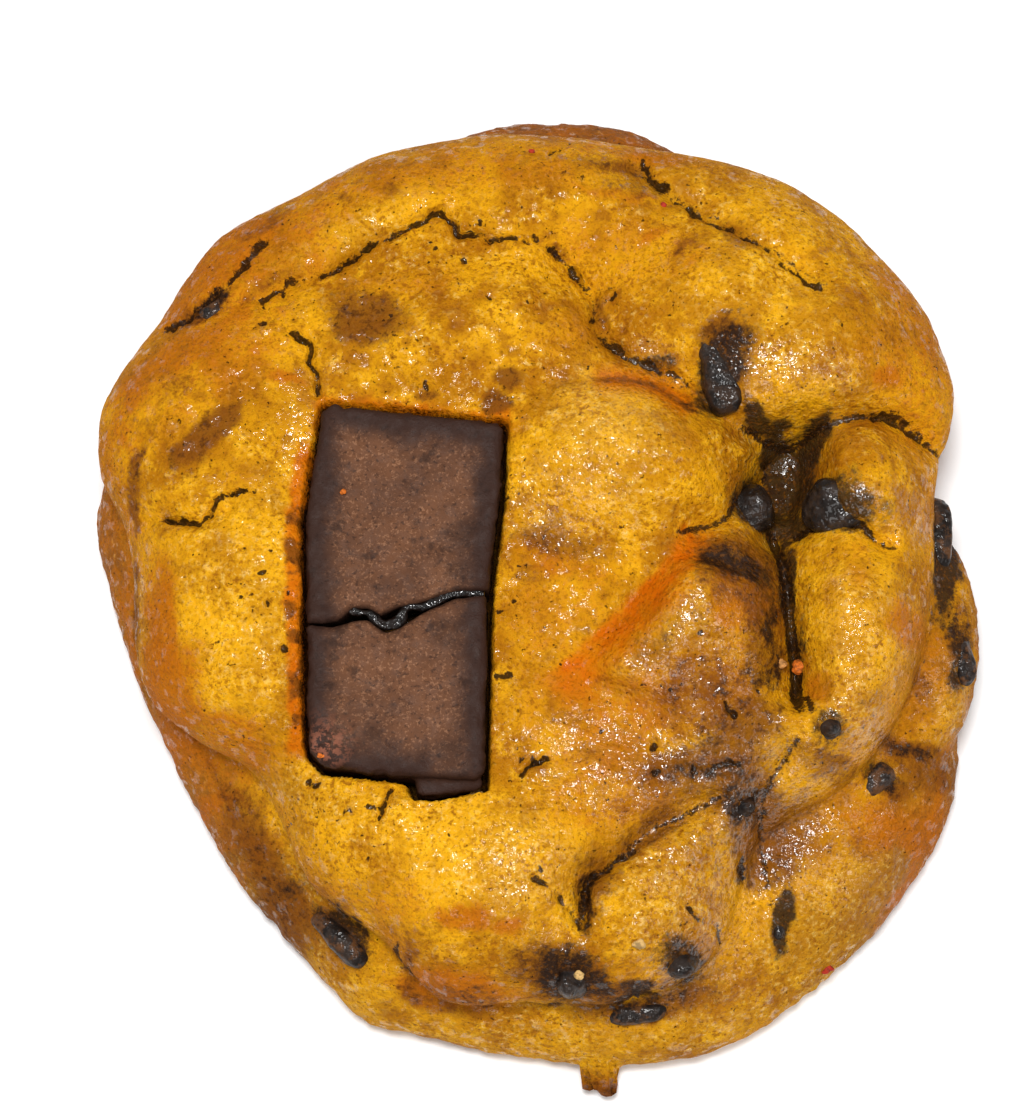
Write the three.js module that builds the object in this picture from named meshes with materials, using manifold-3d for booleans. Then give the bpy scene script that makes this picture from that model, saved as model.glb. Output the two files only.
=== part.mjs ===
// A thick bakery cookie. Lumps of dough were stacked on each other, so an upper layer full of folds overhangs
// a lower layer that spread on the tray. Two squares broken off a dark chocolate bar are sunk in the top, and
// chocolate chips and bits of chunk sit in the folds and along the sides.
// Sizes are in millimetres. +Z is up, the origin is on the table under the middle of the cookie, and the
// eater sits at -Y. Places on the cookie are [x, y] as seen from above.

import * as THREE from "three";
import { mergeVertices } from "three/addons/utils/BufferGeometryUtils.js";
import Module from "manifold-3d";

const wasm = await Module();
wasm.setup();

// The layers of dough
const lowerLayer = { top: 10.5, edgeRound: 9, footRound: 3.5, inwardRise: 2.5, riseOver: 12 };
const upperLayer = { top: 24.5, rimDrop: 3.5, shoulder: 12, underside: 9.5, underRound: 8 };
const halfWidth = 51;
const layerSeam = 1.6;
const foldRound = 0.9;
const chocolateGap = 0.35;

// Outlines seen from above, as [degrees from +X towards +Y, radius]
const lowerOutline = [
  [5, 47], [20, 47], [40, 51], [60, 53], [74, 56.7], [80, 57.7], [86, 57.8], [98, 56.8], [110, 52.5],
  [130, 51.5], [150, 51.5], [168, 52.3], [184, 48.6], [205, 46.1], [229, 48.1], [240, 50.2], [248, 52.6],
  [258, 52.3], [271, 53.5], [289, 56], [297, 56], [304, 55.3], [321, 54.5], [334, 53.4], [345, 50.4],
];
const upperOutline = [
  [4, 46.3], [12, 47.3], [20, 51.6], [27, 54.7], [43, 56.3], [56, 56.6], [70, 54.8], [80, 53.7], [98, 54.2],
  [110, 54.4], [121, 53.9], [133, 55.6], [146, 54.4], [158, 54.9], [166, 52.6], [173, 48.1], [181, 46.4],
  [196, 46.7], [206, 43], [214, 39.6], [223, 40.3], [234, 43.7], [247, 45], [258, 49.8], [269, 49],
  [280, 50], [293, 49.4], [304, 45.8], [314, 41.8], [325, 42.9], [340, 44.2],
];

// Swells and hollows of the top: place, half sizes, turn in degrees, and height, below 0 for a hollow
const swells = {
  leftSide: { at: [-36, -5], half: [11, 20], turn: 4, height: 2.6 },
  upperLeft: { at: [-34, 22], half: [13, 10], turn: 35, height: 1.2 },
  northRim: { at: [-9, 44], half: [27, 7], turn: 3, height: 1.6 },
  plateau: { at: [-9, 28.5], half: [16, 8], turn: -4, height: 1.8 },
  upperRight: { at: [28.5, 27.5], half: [15, 12], turn: -38, height: 4.6 },
  centreDome: { at: [9.5, 12], half: [12, 9], turn: -12, height: 4.2 },
  rightLobe: { at: [36.8, 10.5], half: [6.5, 6.5], turn: 0, height: 2.2 },
  rightColumn: { at: [37, -8], half: [7, 13], turn: 4, height: 3 },
  brownMass: { at: [20.5, -8], half: [7, 12], turn: -8, height: 3.2 },
  columnFoot: { at: [32, -20], half: [9, 6], turn: 40, height: 1.2 },
  lowerMass: { at: [-10, -36], half: [18, 10], turn: -6, height: 2.6 },
  lowerKnob: { at: [13, -40], half: [8, 6], turn: 10, height: 1.2 },
  middleSouth: { at: [6, -27], half: [13, 7], turn: 10, height: 1 },
  middleHollow: { at: [2, -5], half: [9, 12], turn: 0, height: -1.6 },
  southEastSlope: { at: [31, -36], half: [13, 11], turn: 40, height: -6 },
  chipPit: { at: [27.8, 10], half: [3.9, 6.6], turn: -22, height: -8.5 },
  barBed: { at: [-14.8, -3.4], half: [14, 25], turn: -4, height: 0.9 },
};

// Folds where two lumps of dough meet: depth, how far the dough dips on each side of the way the path runs,
// and the path
const folds = {
  crownCrack: {
    depth: 1.5, left: 1.1, right: 3.4,
    path: [
      [-43.5, 27.4], [-36.3, 30], [-24.7, 33.8], [-18.3, 37.6], [-10.4, 40.9], [-8.6, 38.2], [1.2, 36.8],
    ],
  },
  crownValley: {
    depth: 3.2, left: 3.4, right: 2.4,
    path: [[-1, 37.4], [4.3, 34.5], [7.2, 28.6], [9.2, 24.4], [17.1, 20.2], [22.6, 15.8], [27, 13.2]],
  },
  upperRightFold: {
    depth: 2.2, left: 1.8, right: 3,
    path: [[10.4, 49], [12.6, 45.6], [19.8, 41.1], [27.2, 36], [36, 29.2]],
  },
  domeLip: {
    depth: 5, left: 1.5, right: 3.6,
    path: [[21, 17.4], [25.9, 15.2], [29.5, 15.4], [32.9, 16.7], [38.4, 17.6], [43, 15.9], [48.5, 12.5]],
  },
  centreArc: {
    depth: 0.8, left: 1.4, right: 1.6,
    path: [[-2.4, 19.4], [2.5, 20.8], [8.1, 21.4], [13.6, 19.9], [18.6, 15.8]],
  },
  centreEast: {
    depth: 3, left: 2.4, right: 2,
    path: [[25.6, 14.6], [26.2, 12.8], [24.9, 10], [22.4, 7.6], [21, 5.2], [18, 4], [14, 2.8]],
  },
  columnWest: {
    depth: 5.4, left: 1.9, right: 1.7,
    path: [[25.6, 6], [27.5, 1.6], [28.2, -5], [28.8, -12], [29, -18]],
  },
  columnTop: {
    depth: 2.6, left: 2, right: 1.6,
    path: [[27.4, 3.8], [30, 4.1], [33.2, 4.9], [35.6, 4.4], [38.3, 2.7], [41, 1.6]],
  },
  middleSeam: {
    depth: 0.7, left: 2, right: 2,
    path: [[-4.4, -24.6], [0.3, -22.3], [6.9, -20.6], [13, -18.8]],
  },
  knobSeam: {
    depth: 3.2, left: 1.6, right: 2,
    path: [[23, -24.6], [17.9, -27.1], [12.4, -29.8], [8.4, -33.2], [5.4, -35.9], [4.6, -39.1], [5, -43.5]],
  },
  footSeam: { depth: 2.4, left: 1.6, right: 2, path: [[30, -18], [25.4, -25], [25.2, -31], [27, -40]] },
  leftCrack: {
    depth: 1.2, left: 0.9, right: 0.9,
    path: [[-45, 4.8], [-42.1, 5.8], [-37.6, 4.8], [-31.6, 8.2]],
  },
  cornerCrack: { depth: 1.1, left: 0.9, right: 0.9, path: [[-26.6, 28], [-25.3, 21.9], [-24.2, 18.4]] },
};

// Rounded ridges: height, reach on each side of the way the path runs, and the path
const ridges = {
  glazedRidge: {
    height: 3, left: 5, right: 3,
    path: [[19.2, 0.6], [17.8, -2.6], [15.3, -5.4], [12.2, -8.8], [9.6, -11.7], [7.8, -15]],
  },
};

// Lumps of dough that show at the sides: place, half sizes and turn
const sideLumps = {
  rightBulge: { at: [42.3, -5, 8.6], half: [8.4, 14.6, 6.2], turn: 4 },
  southCrumb: { at: [7.2, -55.3, 2.2], half: [2.1, 2, 1.7], turn: 20 },
};

// The piece of chocolate bar: two squares that cracked apart, with outlines seen from above at their top
const bar = { topAt: 25.4, thick: 8, bevel: 0.7, tilt: 0.8, bedGap: 0.5 };
const barUpperSquare = [
  [-25.6, -7], [-23.9, -7.1], [-22.1, -6.7], [-20.6, -5.3], [-18.8, -5.3], [-17.4, -6.2], [-15.6, -5.2],
  [-13, -4.7], [-9.1, -3.5], [-5.6, -3.2], [-4.2, 7.5], [-3.8, 15], [-4.6, 15.8], [-23, 17.9], [-24, 17],
  [-25.8, 4.8],
];
const barLowerSquare = [
  [-25.5, -7.4], [-25.4, -15.1], [-25.2, -21.4], [-23.6, -23.1], [-15.5, -24.1], [-6.8, -24.4], [-6, -23.6],
  [-5.7, -11.8], [-5.8, -3.8], [-9.1, -4.3], [-13, -6], [-15.4, -7.3], [-16.9, -7.9], [-18.8, -6.5],
  [-20.6, -6.7], [-22.9, -7.5],
];
// Where the bar's lower end broke off, a thinner step is left
const barStep = {
  below: 1.7,
  thick: 5,
  outline: [[-13.6, -22], [-13.3, -26], [-11.6, -26.2], [-6.1, -25.3], [-6.2, -22]],
};
const barBedOutline = [
  [-25.7, -6.9], [-25.4, -15.1], [-25.2, -21.4], [-23.6, -23.1], [-15.5, -24.1], [-13.9, -24.3],
  [-13.3, -26], [-11.6, -26.2], [-6, -25.3], [-5.6, -11.8], [-5.5, -3.6], [-4.1, 7.5], [-3.8, 15.7],
  [-23.9, 17.9], [-25.8, 4.8],
];

// Chips and bits of chunk: place, how deep the middle lies under the dough's surface, size and turn.
// A chip is a round drop with a point, and a chunk is a cut block with soft corners.
const chips = {
  chip_pit_west: { kind: "chunk", at: [23.9, 7.1], under: -0.3, size: [5.8, 5.6, 4.6], turn: [12, -14, 24] },
  chip_pit_east: { kind: "chip", at: [33.1, 7.7], under: 1.6, size: [8.2, 6.8, 6.4], turn: [-38, -24, 0] },
  chip_upper_right: { kind: "chunk", at: [20.3, 21.6], under: 0.9, size: [4, 9.2, 4], turn: [0, 12, 14] },
  chip_column_foot: { kind: "chip", at: [32.2, -18.4], under: 1.6, size: [5.4, 5.4, 5], turn: [14, 8, 0] },
  chip_south_west: { kind: "chip", at: [3.6, -46], under: 1.2, size: [4.8, 6.2, 5.6], turn: [34, -16, 0] },
  chip_south: { kind: "chip", at: [15.7, -44.1], under: 1, size: [5.8, 4.4, 4.6], turn: [26, 12, 0] },
  chip_crumbled: { kind: "chip", at: [22.8, -26.4], under: 1.1, size: [4, 4, 3.8], turn: [20, 30, 0] },
  chunk_left_groove: {
    kind: "chunk", at: [-22.1, -40.4], under: 1.2,
    size: [8.4, 2.9, 4.2], turn: [10, 0, -45],
  },
  chunk_left_rim: { kind: "chunk", at: [-36.5, 30.6], under: 1.2, size: [5, 2.2, 3.4], turn: [0, 0, 36] },
  chunk_right_groove: { kind: "chunk", at: [45.5, 5.4], under: 1.3, size: [3.2, 9.6, 5], turn: [0, 20, -3] },
  chunk_right_bulge: { kind: "chunk", at: [47.9, -9], under: 1.7, size: [2.6, 6.2, 4], turn: [0, 40, 8] },
  chunk_east_groove: { kind: "chunk", at: [38, -22.8], under: 1.4, size: [5, 3, 3.6], turn: [0, 0, 46] },
  chunk_south_groove: { kind: "chunk", at: [11.4, -48.6], under: 1.1, size: [7, 2.2, 3.4], turn: [20, 0, 6] },
  chip_east_hole: { kind: "chip", at: [26.9, -39.6], under: 1.4, size: [3.4, 4.8, 3.8], turn: [24, 10, 0] },
};

// How finely the dough is made: rings of 6, 12, 18 and so on over the top, then rows down the side
const topRings = 26;
const sideRows = 15;
const core = { inset: 10, height: 8.5 };
const skyHeight = 45;

const colours = { dough: 0xd19a35, chocolate: 0x44302c, chip: 0x2a2423 };

const radians = THREE.MathUtils.degToRad;

// The smaller of two values, rounded where they meet over the width k
function smoothMin(a, b, k) {
  const h = Math.max(k - Math.abs(a - b), 0) / k;
  return Math.min(a, b) - (h * h * k) / 4;
}

const smoothMax = (a, b, k) => -smoothMin(-a, -b, k);

// The radius of a closed outline at an angle, on a smooth curve through its points
function outlineRadius(points, angle) {
  const turn = ((THREE.MathUtils.radToDeg(angle) % 360) + 360) % 360;
  const count = points.length;
  let next = points.findIndex(([degrees]) => degrees > turn);
  if (next < 0) next = count;
  const pick = (i) => {
    const [degrees, radius] = points[((i % count) + count) % count];
    return [degrees + 360 * Math.floor(i / count), radius];
  };
  const [before, from, to, after] = [pick(next - 2), pick(next - 1), pick(next), pick(next + 1)];
  const span = to[0] - from[0];
  const t = (turn - from[0]) / span;
  const slopeFrom = ((to[1] - before[1]) / (to[0] - before[0])) * span;
  const slopeTo = ((after[1] - from[1]) / (after[0] - from[0])) * span;
  return (
    (2 * t ** 3 - 3 * t ** 2 + 1) * from[1] + (t ** 3 - 2 * t ** 2 + t) * slopeFrom +
    (3 * t ** 2 - 2 * t ** 3) * to[1] + (t ** 3 - t ** 2) * slopeTo
  );
}

// The nearest point of a smooth path: how far, on which side, where, and how far along the path from 0 to 1
function pathFinder(points) {
  const curve = new THREE.CatmullRomCurve3(points.map(([x, y]) => new THREE.Vector3(x, y, 0)));
  const line = curve.getPoints(points.length * 4);
  return (x, y) => {
    let best = { distance: Infinity, side: 1, along: 0 };
    for (let i = 0; i + 1 < line.length; i++) {
      const [a, b] = [line[i], line[i + 1]];
      const [dx, dy] = [b.x - a.x, b.y - a.y];
      const t = THREE.MathUtils.clamp(((x - a.x) * dx + (y - a.y) * dy) / (dx * dx + dy * dy), 0, 1);
      const nearest = [a.x + t * dx, a.y + t * dy];
      const distance = Math.hypot(x - nearest[0], y - nearest[1]);
      const side = Math.sign(dx * (y - a.y) - dy * (x - a.x));
      if (distance < best.distance) best = { distance, side, nearest, along: (i + t) / (line.length - 1) };
    }
    return best;
  };
}

// A fold or ridge fades out towards the two ends of its path
const endFade = (along) =>
  THREE.MathUtils.smoothstep(along, 0, 0.18) * (1 - THREE.MathUtils.smoothstep(along, 0.82, 1));

const foldFinders = Object.values(folds).map((fold) => ({ ...fold, find: pathFinder(fold.path) }));
const ridgeFinders = Object.values(ridges).map((ridge) => ({ ...ridge, find: pathFinder(ridge.path) }));

// Slow waves that never line up, for the unevenness of baked dough
function unevenness(x, y) {
  const long = Math.sin(x / 6.1 + 1.9 * Math.sin(y / 8.3)) * Math.cos(y / 5.7 + 1.3 * Math.sin(x / 9.1));
  const short = Math.sin(x / 2.9 - y / 4.1) * Math.cos(y / 3.1 + x / 5.3);
  return 0.45 * long + 0.18 * short;
}

// Height of the upper layer's top at a place
function upperTop(x, y) {
  const reach = Math.hypot(x, y) / halfWidth;
  let height = upperLayer.top - upperLayer.rimDrop * reach ** 2 + unevenness(x, y);
  for (const swell of Object.values(swells)) {
    const turn = radians(swell.turn);
    const [dx, dy] = [x - swell.at[0], y - swell.at[1]];
    const u = (dx * Math.cos(turn) + dy * Math.sin(turn)) / swell.half[0];
    const v = (dy * Math.cos(turn) - dx * Math.sin(turn)) / swell.half[1];
    height += swell.height * Math.exp(-((u * u + v * v) ** 1.5));
  }
  for (const { find, depth, left, right } of foldFinders) {
    const { distance, side, along } = find(x, y);
    const apart = Math.hypot(distance, foldRound) - foldRound;
    height -= depth * endFade(along) * Math.exp(-apart / (side > 0 ? left : right));
  }
  for (const { find, height: rise, left, right } of ridgeFinders) {
    const { distance, side, along } = find(x, y);
    height += rise * endFade(along) * Math.exp(-((distance / (side > 0 ? left : right)) ** 2));
  }
  return height;
}

// How far a point is outside an ellipsoid, which is below 0 inside it
function ellipsoidDistance(point, { at, half, turn }) {
  const place = point.clone().sub(new THREE.Vector3(...at));
  place.applyAxisAngle(new THREE.Vector3(0, 0, 1), -radians(turn));
  const unit = place.clone().divide(new THREE.Vector3(...half));
  const steep = unit.clone().divide(new THREE.Vector3(...half));
  return (unit.length() * (unit.length() - 1)) / Math.max(steep.length(), 1e-6);
}

// How far a point is outside the whole cookie's dough, which is below 0 inside it
function doughDistance(point) {
  const { x, y, z } = point;
  const radius = Math.hypot(x, y);
  const angle = Math.atan2(y, x);
  const pastLower = radius - outlineRadius(lowerOutline, angle);
  const pastUpper = radius - outlineRadius(upperOutline, angle);
  const lowerTop = lowerLayer.top + unevenness(y, x) +
    lowerLayer.inwardRise * THREE.MathUtils.smoothstep(-pastLower, 0, lowerLayer.riseOver);
  const lowerSlab = smoothMax(pastLower, z - lowerTop, lowerLayer.edgeRound);
  const upperCap = smoothMax(pastUpper, z - upperTop(x, y), upperLayer.shoulder);
  const upper = smoothMax(upperCap, upperLayer.underside - z, upperLayer.underRound);
  let dough = smoothMin(lowerSlab, upper, layerSeam);
  for (const lump of Object.values(sideLumps)) {
    dough = smoothMin(dough, ellipsoidDistance(point, lump), layerSeam);
  }
  return smoothMax(dough, -z, lowerLayer.footRound);
}

// The first point of dough on the way from a point outside to one inside
function firstDough(outside, inside) {
  const way = inside.clone().sub(outside);
  const length = way.length();
  const point = new THREE.Vector3();
  const at = (share) => doughDistance(point.copy(outside).addScaledVector(way, share));
  let share = 0;
  let distance = at(0);
  while (distance > 0 && share < 1) {
    share += Math.max(distance * 0.5, 0.1) / length;
    distance = at(share);
  }
  let [low, high] = [Math.max(share - 3 / length, 0), share];
  for (let i = 0; i < 16; i++) {
    const middle = (low + high) / 2;
    if (at(middle) > 0) low = middle;
    else high = middle;
  }
  return point.copy(outside).addScaledVector(way, high).clone();
}

// A point of the grid that lies close to a fold is moved onto it, so the fold's bottom is one clean line
function ontoFold(x, y, reach) {
  for (const { find } of foldFinders) {
    const { distance, nearest, along } = find(x, y);
    if (distance < reach && along > 0.04 && along < 0.96) return nearest;
  }
  return [x, y];
}

// The closed skin of the dough, with the places for the chocolate still filled
function doughSkin() {
  const points = [];
  const rings = [];
  const coreRadius = (angle) =>
    Math.min(outlineRadius(lowerOutline, angle), outlineRadius(upperOutline, angle)) - core.inset;
  const place = (radius, angle, z) =>
    new THREE.Vector3(radius * Math.cos(angle), radius * Math.sin(angle), z);
  for (let ring = 0; ring <= topRings; ring++) {
    const around = Math.max(6 * ring, 1);
    rings.push({ first: points.length, around });
    for (let i = 0; i < around; i++) {
      const angle = (2 * Math.PI * i) / around;
      const radius = (coreRadius(angle) * ring) / topRings;
      const spacing = coreRadius(angle) / topRings;
      const even = [radius * Math.cos(angle), radius * Math.sin(angle)];
      const [x, y] = ring < topRings ? ontoFold(...even, 0.48 * spacing) : even;
      points.push(firstDough(new THREE.Vector3(x, y, skyHeight), new THREE.Vector3(x, y, core.height)));
    }
  }
  const around = 6 * topRings;
  for (let row = 1; row <= sideRows; row++) {
    rings.push({ first: points.length, around });
    for (let i = 0; i < around; i++) {
      const angle = (2 * Math.PI * i) / around;
      const inner = place(coreRadius(angle), angle, core.height);
      const foot = outlineRadius(lowerOutline, angle) - 0.8 * lowerLayer.footRound - coreRadius(angle);
      const lowest = -Math.atan2(core.height, foot);
      const slope = Math.PI / 2 + ((lowest - Math.PI / 2) * row) / sideRows;
      const outward = place(Math.cos(slope), angle, Math.sin(slope));
      const point = firstDough(inner.clone().addScaledVector(outward, 40), inner);
      if (row === sideRows) point.z = 0;
      points.push(point);
    }
  }
  const bottomCentre = points.length;
  points.push(new THREE.Vector3(0, 0, 0));

  const faces = [];
  for (let ring = 1; ring <= topRings; ring++) {
    const [inner, outer] = [rings[ring - 1], rings[ring]];
    for (let sector = 0; sector < 6; sector++) {
      for (let step = 0; step < ring; step++) {
        const out = (i) => outer.first + ((sector * ring + i) % outer.around);
        const inn = (i) => inner.first + ((sector * (ring - 1) + i) % inner.around);
        faces.push([out(step), out(step + 1), inn(step)]);
        if (step > 0) faces.push([inn(step - 1), out(step), inn(step)]);
      }
    }
  }
  for (let row = 0; row < sideRows; row++) {
    const [upper, lower] = [rings[topRings + row], rings[topRings + row + 1]];
    for (let i = 0; i < around; i++) {
      const next = (i + 1) % around;
      faces.push([lower.first + i, lower.first + next, upper.first + i]);
      faces.push([lower.first + next, upper.first + next, upper.first + i]);
    }
  }
  const lastRow = rings[rings.length - 1];
  for (let i = 0; i < around; i++) {
    faces.push([lastRow.first + ((i + 1) % around), lastRow.first + i, bottomCentre]);
  }
  const geometry = new THREE.BufferGeometry().setFromPoints(points);
  geometry.setIndex(faces.flat());
  return geometry;
}

function solidFrom(geometry) {
  const bare = geometry.clone();
  bare.deleteAttribute("normal");
  bare.deleteAttribute("uv");
  const merged = mergeVertices(bare, 1e-4);
  return new wasm.Manifold(
    new wasm.Mesh({
      numProp: 3,
      vertProperties: new Float32Array(merged.attributes.position.array),
      triVerts: new Uint32Array(merged.index.array),
    }),
  );
}

function geometryFrom(solid) {
  const { vertProperties, triVerts } = solid.getMesh();
  const geometry = new THREE.BufferGeometry();
  geometry.setAttribute("position", new THREE.BufferAttribute(vertProperties, 3));
  geometry.setIndex(new THREE.BufferAttribute(triVerts, 1));
  return geometry;
}

// A drop with a round foot and a blunt point, or a block with soft corners, each grown outwards by a margin
function chocolateBit({ kind, size, turn }, margin) {
  const [width, length, height] = size.map((full) => full / 2 + margin);
  let geometry;
  if (kind === "chip") {
    const side = [[0, -1], [0.72, -0.94], [0.97, -0.6], [0.9, -0.15], [0.62, 0.34], [0.3, 0.82], [0, 1]];
    geometry = new THREE.LatheGeometry(side.map(([r, z]) => new THREE.Vector2(r, z)), 12);
    geometry.rotateX(Math.PI / 2);
  } else {
    geometry = new THREE.SphereGeometry(1, 12, 8);
    const soften = (value) => Math.sign(value) * Math.abs(value) ** 0.62;
    const corners = geometry.attributes.position;
    for (let i = 0; i < corners.count; i++) {
      const [x, y, z] = [corners.getX(i), corners.getY(i), corners.getZ(i)].map(soften);
      corners.setXYZ(i, x + 0.1 * y * z, y, z * (1 + 0.12 * x));
    }
  }
  geometry.scale(width, length, height);
  geometry.rotateX(radians(turn[0]));
  geometry.rotateY(radians(turn[1]));
  geometry.rotateZ(radians(turn[2]));
  return geometry;
}

// Where a chip's middle lies: under the surface that shows at its place
function chipPlace({ at, under }) {
  const surface = firstDough(new THREE.Vector3(...at, skyHeight), new THREE.Vector3(...at, 0));
  return new THREE.Vector3(...at, surface.z - under);
}

// A block of the bar, from an outline seen from above, with its top below the bar's top and its edges rounded
function barBlock(outline, below, thick, bevel) {
  const shape = new THREE.Shape(outline.map(([x, y]) => new THREE.Vector2(x, y)));
  const geometry = new THREE.ExtrudeGeometry(shape, {
    depth: thick - 2 * bevel,
    bevelThickness: bevel,
    bevelSize: bevel,
    bevelOffset: -bevel,
    bevelSegments: 2,
    steps: 1,
  });
  geometry.translate(0, 0, bevel - thick - below);
  return geometry;
}

// The hole in the dough that the bar lies in, open at the top
function barBed() {
  const shape = new THREE.Shape(barBedOutline.map(([x, y]) => new THREE.Vector2(x, y)));
  const geometry = new THREE.ExtrudeGeometry(shape, {
    depth: 2 * bar.thick,
    bevelThickness: 0,
    bevelSize: 0,
    bevelOffset: bar.bedGap,
    bevelSegments: 1,
    steps: 1,
  });
  geometry.translate(0, 0, -bar.thick - chocolateGap);
  return geometry;
}

function placeBar(geometry) {
  geometry.rotateX(radians(bar.tilt));
  geometry.translate(0, 0, bar.topAt);
  return geometry;
}

function mesh(name, geometry, colour, roughness) {
  const material = new THREE.MeshStandardMaterial({ color: colour, roughness, metalness: 0 });
  const made = new THREE.Mesh(geometry, material);
  made.name = name;
  return made;
}

const cookie = new THREE.Group();
let dough = solidFrom(doughSkin());

dough = dough.subtract(solidFrom(placeBar(barBed())));

const upperSquare = placeBar(barBlock(barUpperSquare, 0, bar.thick, bar.bevel));
const lowerSquare = solidFrom(placeBar(barBlock(barLowerSquare, 0, bar.thick, bar.bevel)));
const step = solidFrom(placeBar(barBlock(barStep.outline, barStep.below, barStep.thick, bar.bevel / 2)));
cookie.add(mesh("bar_upper_square", upperSquare, colours.chocolate, 0.5));
cookie.add(mesh("bar_lower_square", geometryFrom(lowerSquare.add(step)), colours.chocolate, 0.5));

for (const [name, chip] of Object.entries(chips)) {
  const place = chipPlace(chip);
  const bed = chocolateBit(chip, chocolateGap);
  bed.translate(place.x, place.y, place.z);
  dough = dough.subtract(solidFrom(bed));
  const piece = mesh(name, geometryFrom(solidFrom(chocolateBit(chip, 0))), colours.chip, 0.35);
  piece.position.copy(place);
  cookie.add(piece);
}

cookie.add(mesh("dough", geometryFrom(dough), colours.dough, 0.6));

export default cookie;
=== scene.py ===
import math

import bpy
import numpy as np
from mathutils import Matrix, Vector


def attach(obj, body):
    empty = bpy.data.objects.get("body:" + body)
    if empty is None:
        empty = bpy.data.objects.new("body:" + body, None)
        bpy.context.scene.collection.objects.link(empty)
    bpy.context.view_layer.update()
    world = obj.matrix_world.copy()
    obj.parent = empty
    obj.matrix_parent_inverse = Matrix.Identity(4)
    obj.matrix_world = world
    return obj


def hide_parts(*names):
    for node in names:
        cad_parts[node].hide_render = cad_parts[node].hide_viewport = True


# A thick bakery cookie. Measures are in millimetres until they reach Blender, and places on the cookie
# are (x, y) seen from above, with the eater at -y, as in the solids.

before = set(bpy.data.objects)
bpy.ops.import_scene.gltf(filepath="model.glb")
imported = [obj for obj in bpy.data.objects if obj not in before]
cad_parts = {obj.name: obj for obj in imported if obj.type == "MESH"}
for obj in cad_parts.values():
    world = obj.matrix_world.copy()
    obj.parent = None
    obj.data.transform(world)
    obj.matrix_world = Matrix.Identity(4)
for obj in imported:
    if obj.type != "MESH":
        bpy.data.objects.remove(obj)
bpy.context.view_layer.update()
print("solids loaded")

mm = 0.001
scene = bpy.context.scene


def linear(hexColour):
    channels = [int(hexColour[i:i + 2], 16) / 255 for i in (1, 3, 5)]
    return [c / 12.92 if c <= 0.04045 else ((c + 0.055) / 1.055) ** 2.4 for c in channels] + [1.0]


def smoothStep(value, low, high):
    t = np.clip((value - low) / (high - low), 0, 1)
    return t * t * (3 - 2 * t)


def smoothMin(a, b, k):
    h = np.maximum(k - np.abs(a - b), 0) / k
    return np.minimum(a, b) - h * h * k / 4


def smoothMax(a, b, k):
    return -smoothMin(-a, -b, k)


latticeSize = 48
lattice = np.random.RandomState(7).rand(latticeSize, latticeSize, latticeSize) * 2 - 1


def noise(points, size, seed=0, octaves=1):
    total, weight, reach = 0.0, 1.0, 0.0
    for octave in range(octaves):
        p = points * (2 ** octave / size) + np.array([3.1, 7.7, 5.3]) * (seed + 1) + 11.3 * octave
        cell = np.floor(p).astype(int)
        t = p - cell
        t = t * t * (3 - 2 * t)
        value = 0.0
        for corner in range(8):
            dx, dy, dz = corner & 1, corner >> 1 & 1, corner >> 2
            share = np.abs(1 - dx - t[..., 0]) * np.abs(1 - dy - t[..., 1]) * np.abs(1 - dz - t[..., 2])
            i, j, k = ((cell[..., a] + d) % latticeSize for a, d in ((0, dx), (1, dy), (2, dz)))
            value = value + share * lattice[i, j, k]
        total = total + weight * value
        reach += weight
        weight *= 0.5
    return total / reach


def flat(x, y, z=0.0):
    return np.stack([x, y, np.full_like(x, z)], axis=-1)


def smoothPath(points, perSpan=5):
    p = np.array(points, float)
    ends = np.vstack([2 * p[0] - p[1], p, 2 * p[-1] - p[-2]])
    out = []
    for i in range(1, len(ends) - 2):
        a, b, c, d = ends[i - 1:i + 3]
        for t in np.arange(perSpan) / perSpan:
            out.append(0.5 * (2 * b + (c - a) * t + (2 * a - 5 * b + 4 * c - d) * t ** 2
                              + (3 * b - a - 3 * c + d) * t ** 3))
    out.append(p[-1])
    return np.array(out)


# How far a place is from a path, on which side of it and how far along
def fromPath(line, x, y):
    best = np.full(x.shape, 1e9)
    side = np.ones(x.shape)
    along = np.zeros(x.shape)
    for i in range(len(line) - 1):
        a, d = line[i], line[i + 1] - line[i]
        t = np.clip(((x - a[0]) * d[0] + (y - a[1]) * d[1]) / (d @ d), 0, 1)
        away = np.hypot(x - a[0] - t * d[0], y - a[1] - t * d[1])
        near = away < best
        best = np.where(near, away, best)
        side = np.where(near, np.sign(d[0] * (y - a[1]) - d[1] * (x - a[0])), side)
        along = np.where(near, (i + t) / (len(line) - 1), along)
    return best, side, along


# How far a place is from an outline, negative inside
def insidePolygon(outline, x, y):
    p = np.array(outline, float)
    inside = np.zeros(x.shape, bool)
    away = np.full(x.shape, 1e9)
    for a, b in zip(p, np.roll(p, -1, axis=0)):
        d = b - a
        t = np.clip(((x - a[0]) * d[0] + (y - a[1]) * d[1]) / (d @ d), 0, 1)
        away = np.minimum(away, np.hypot(x - a[0] - t * d[0], y - a[1] - t * d[1]))
        crosses = ((a[1] > y) != (b[1] > y)) & (x < d[0] * (y - a[1]) / (d[1] if d[1] else 1e-9) + a[0])
        inside ^= crosses
    return np.where(inside, -away, away)


def editAll():
    bpy.ops.object.mode_set(mode="EDIT")
    bpy.ops.mesh.select_all(action="SELECT")


def endEdit():
    bpy.ops.object.mode_set(mode="OBJECT")


def deselectAll():
    if bpy.context.object and bpy.context.object.mode != "OBJECT":
        endEdit()
    bpy.ops.object.select_all(action="DESELECT")


def makeActive(piece):
    deselectAll()
    piece.select_set(True)
    bpy.context.view_layer.objects.active = piece


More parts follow.
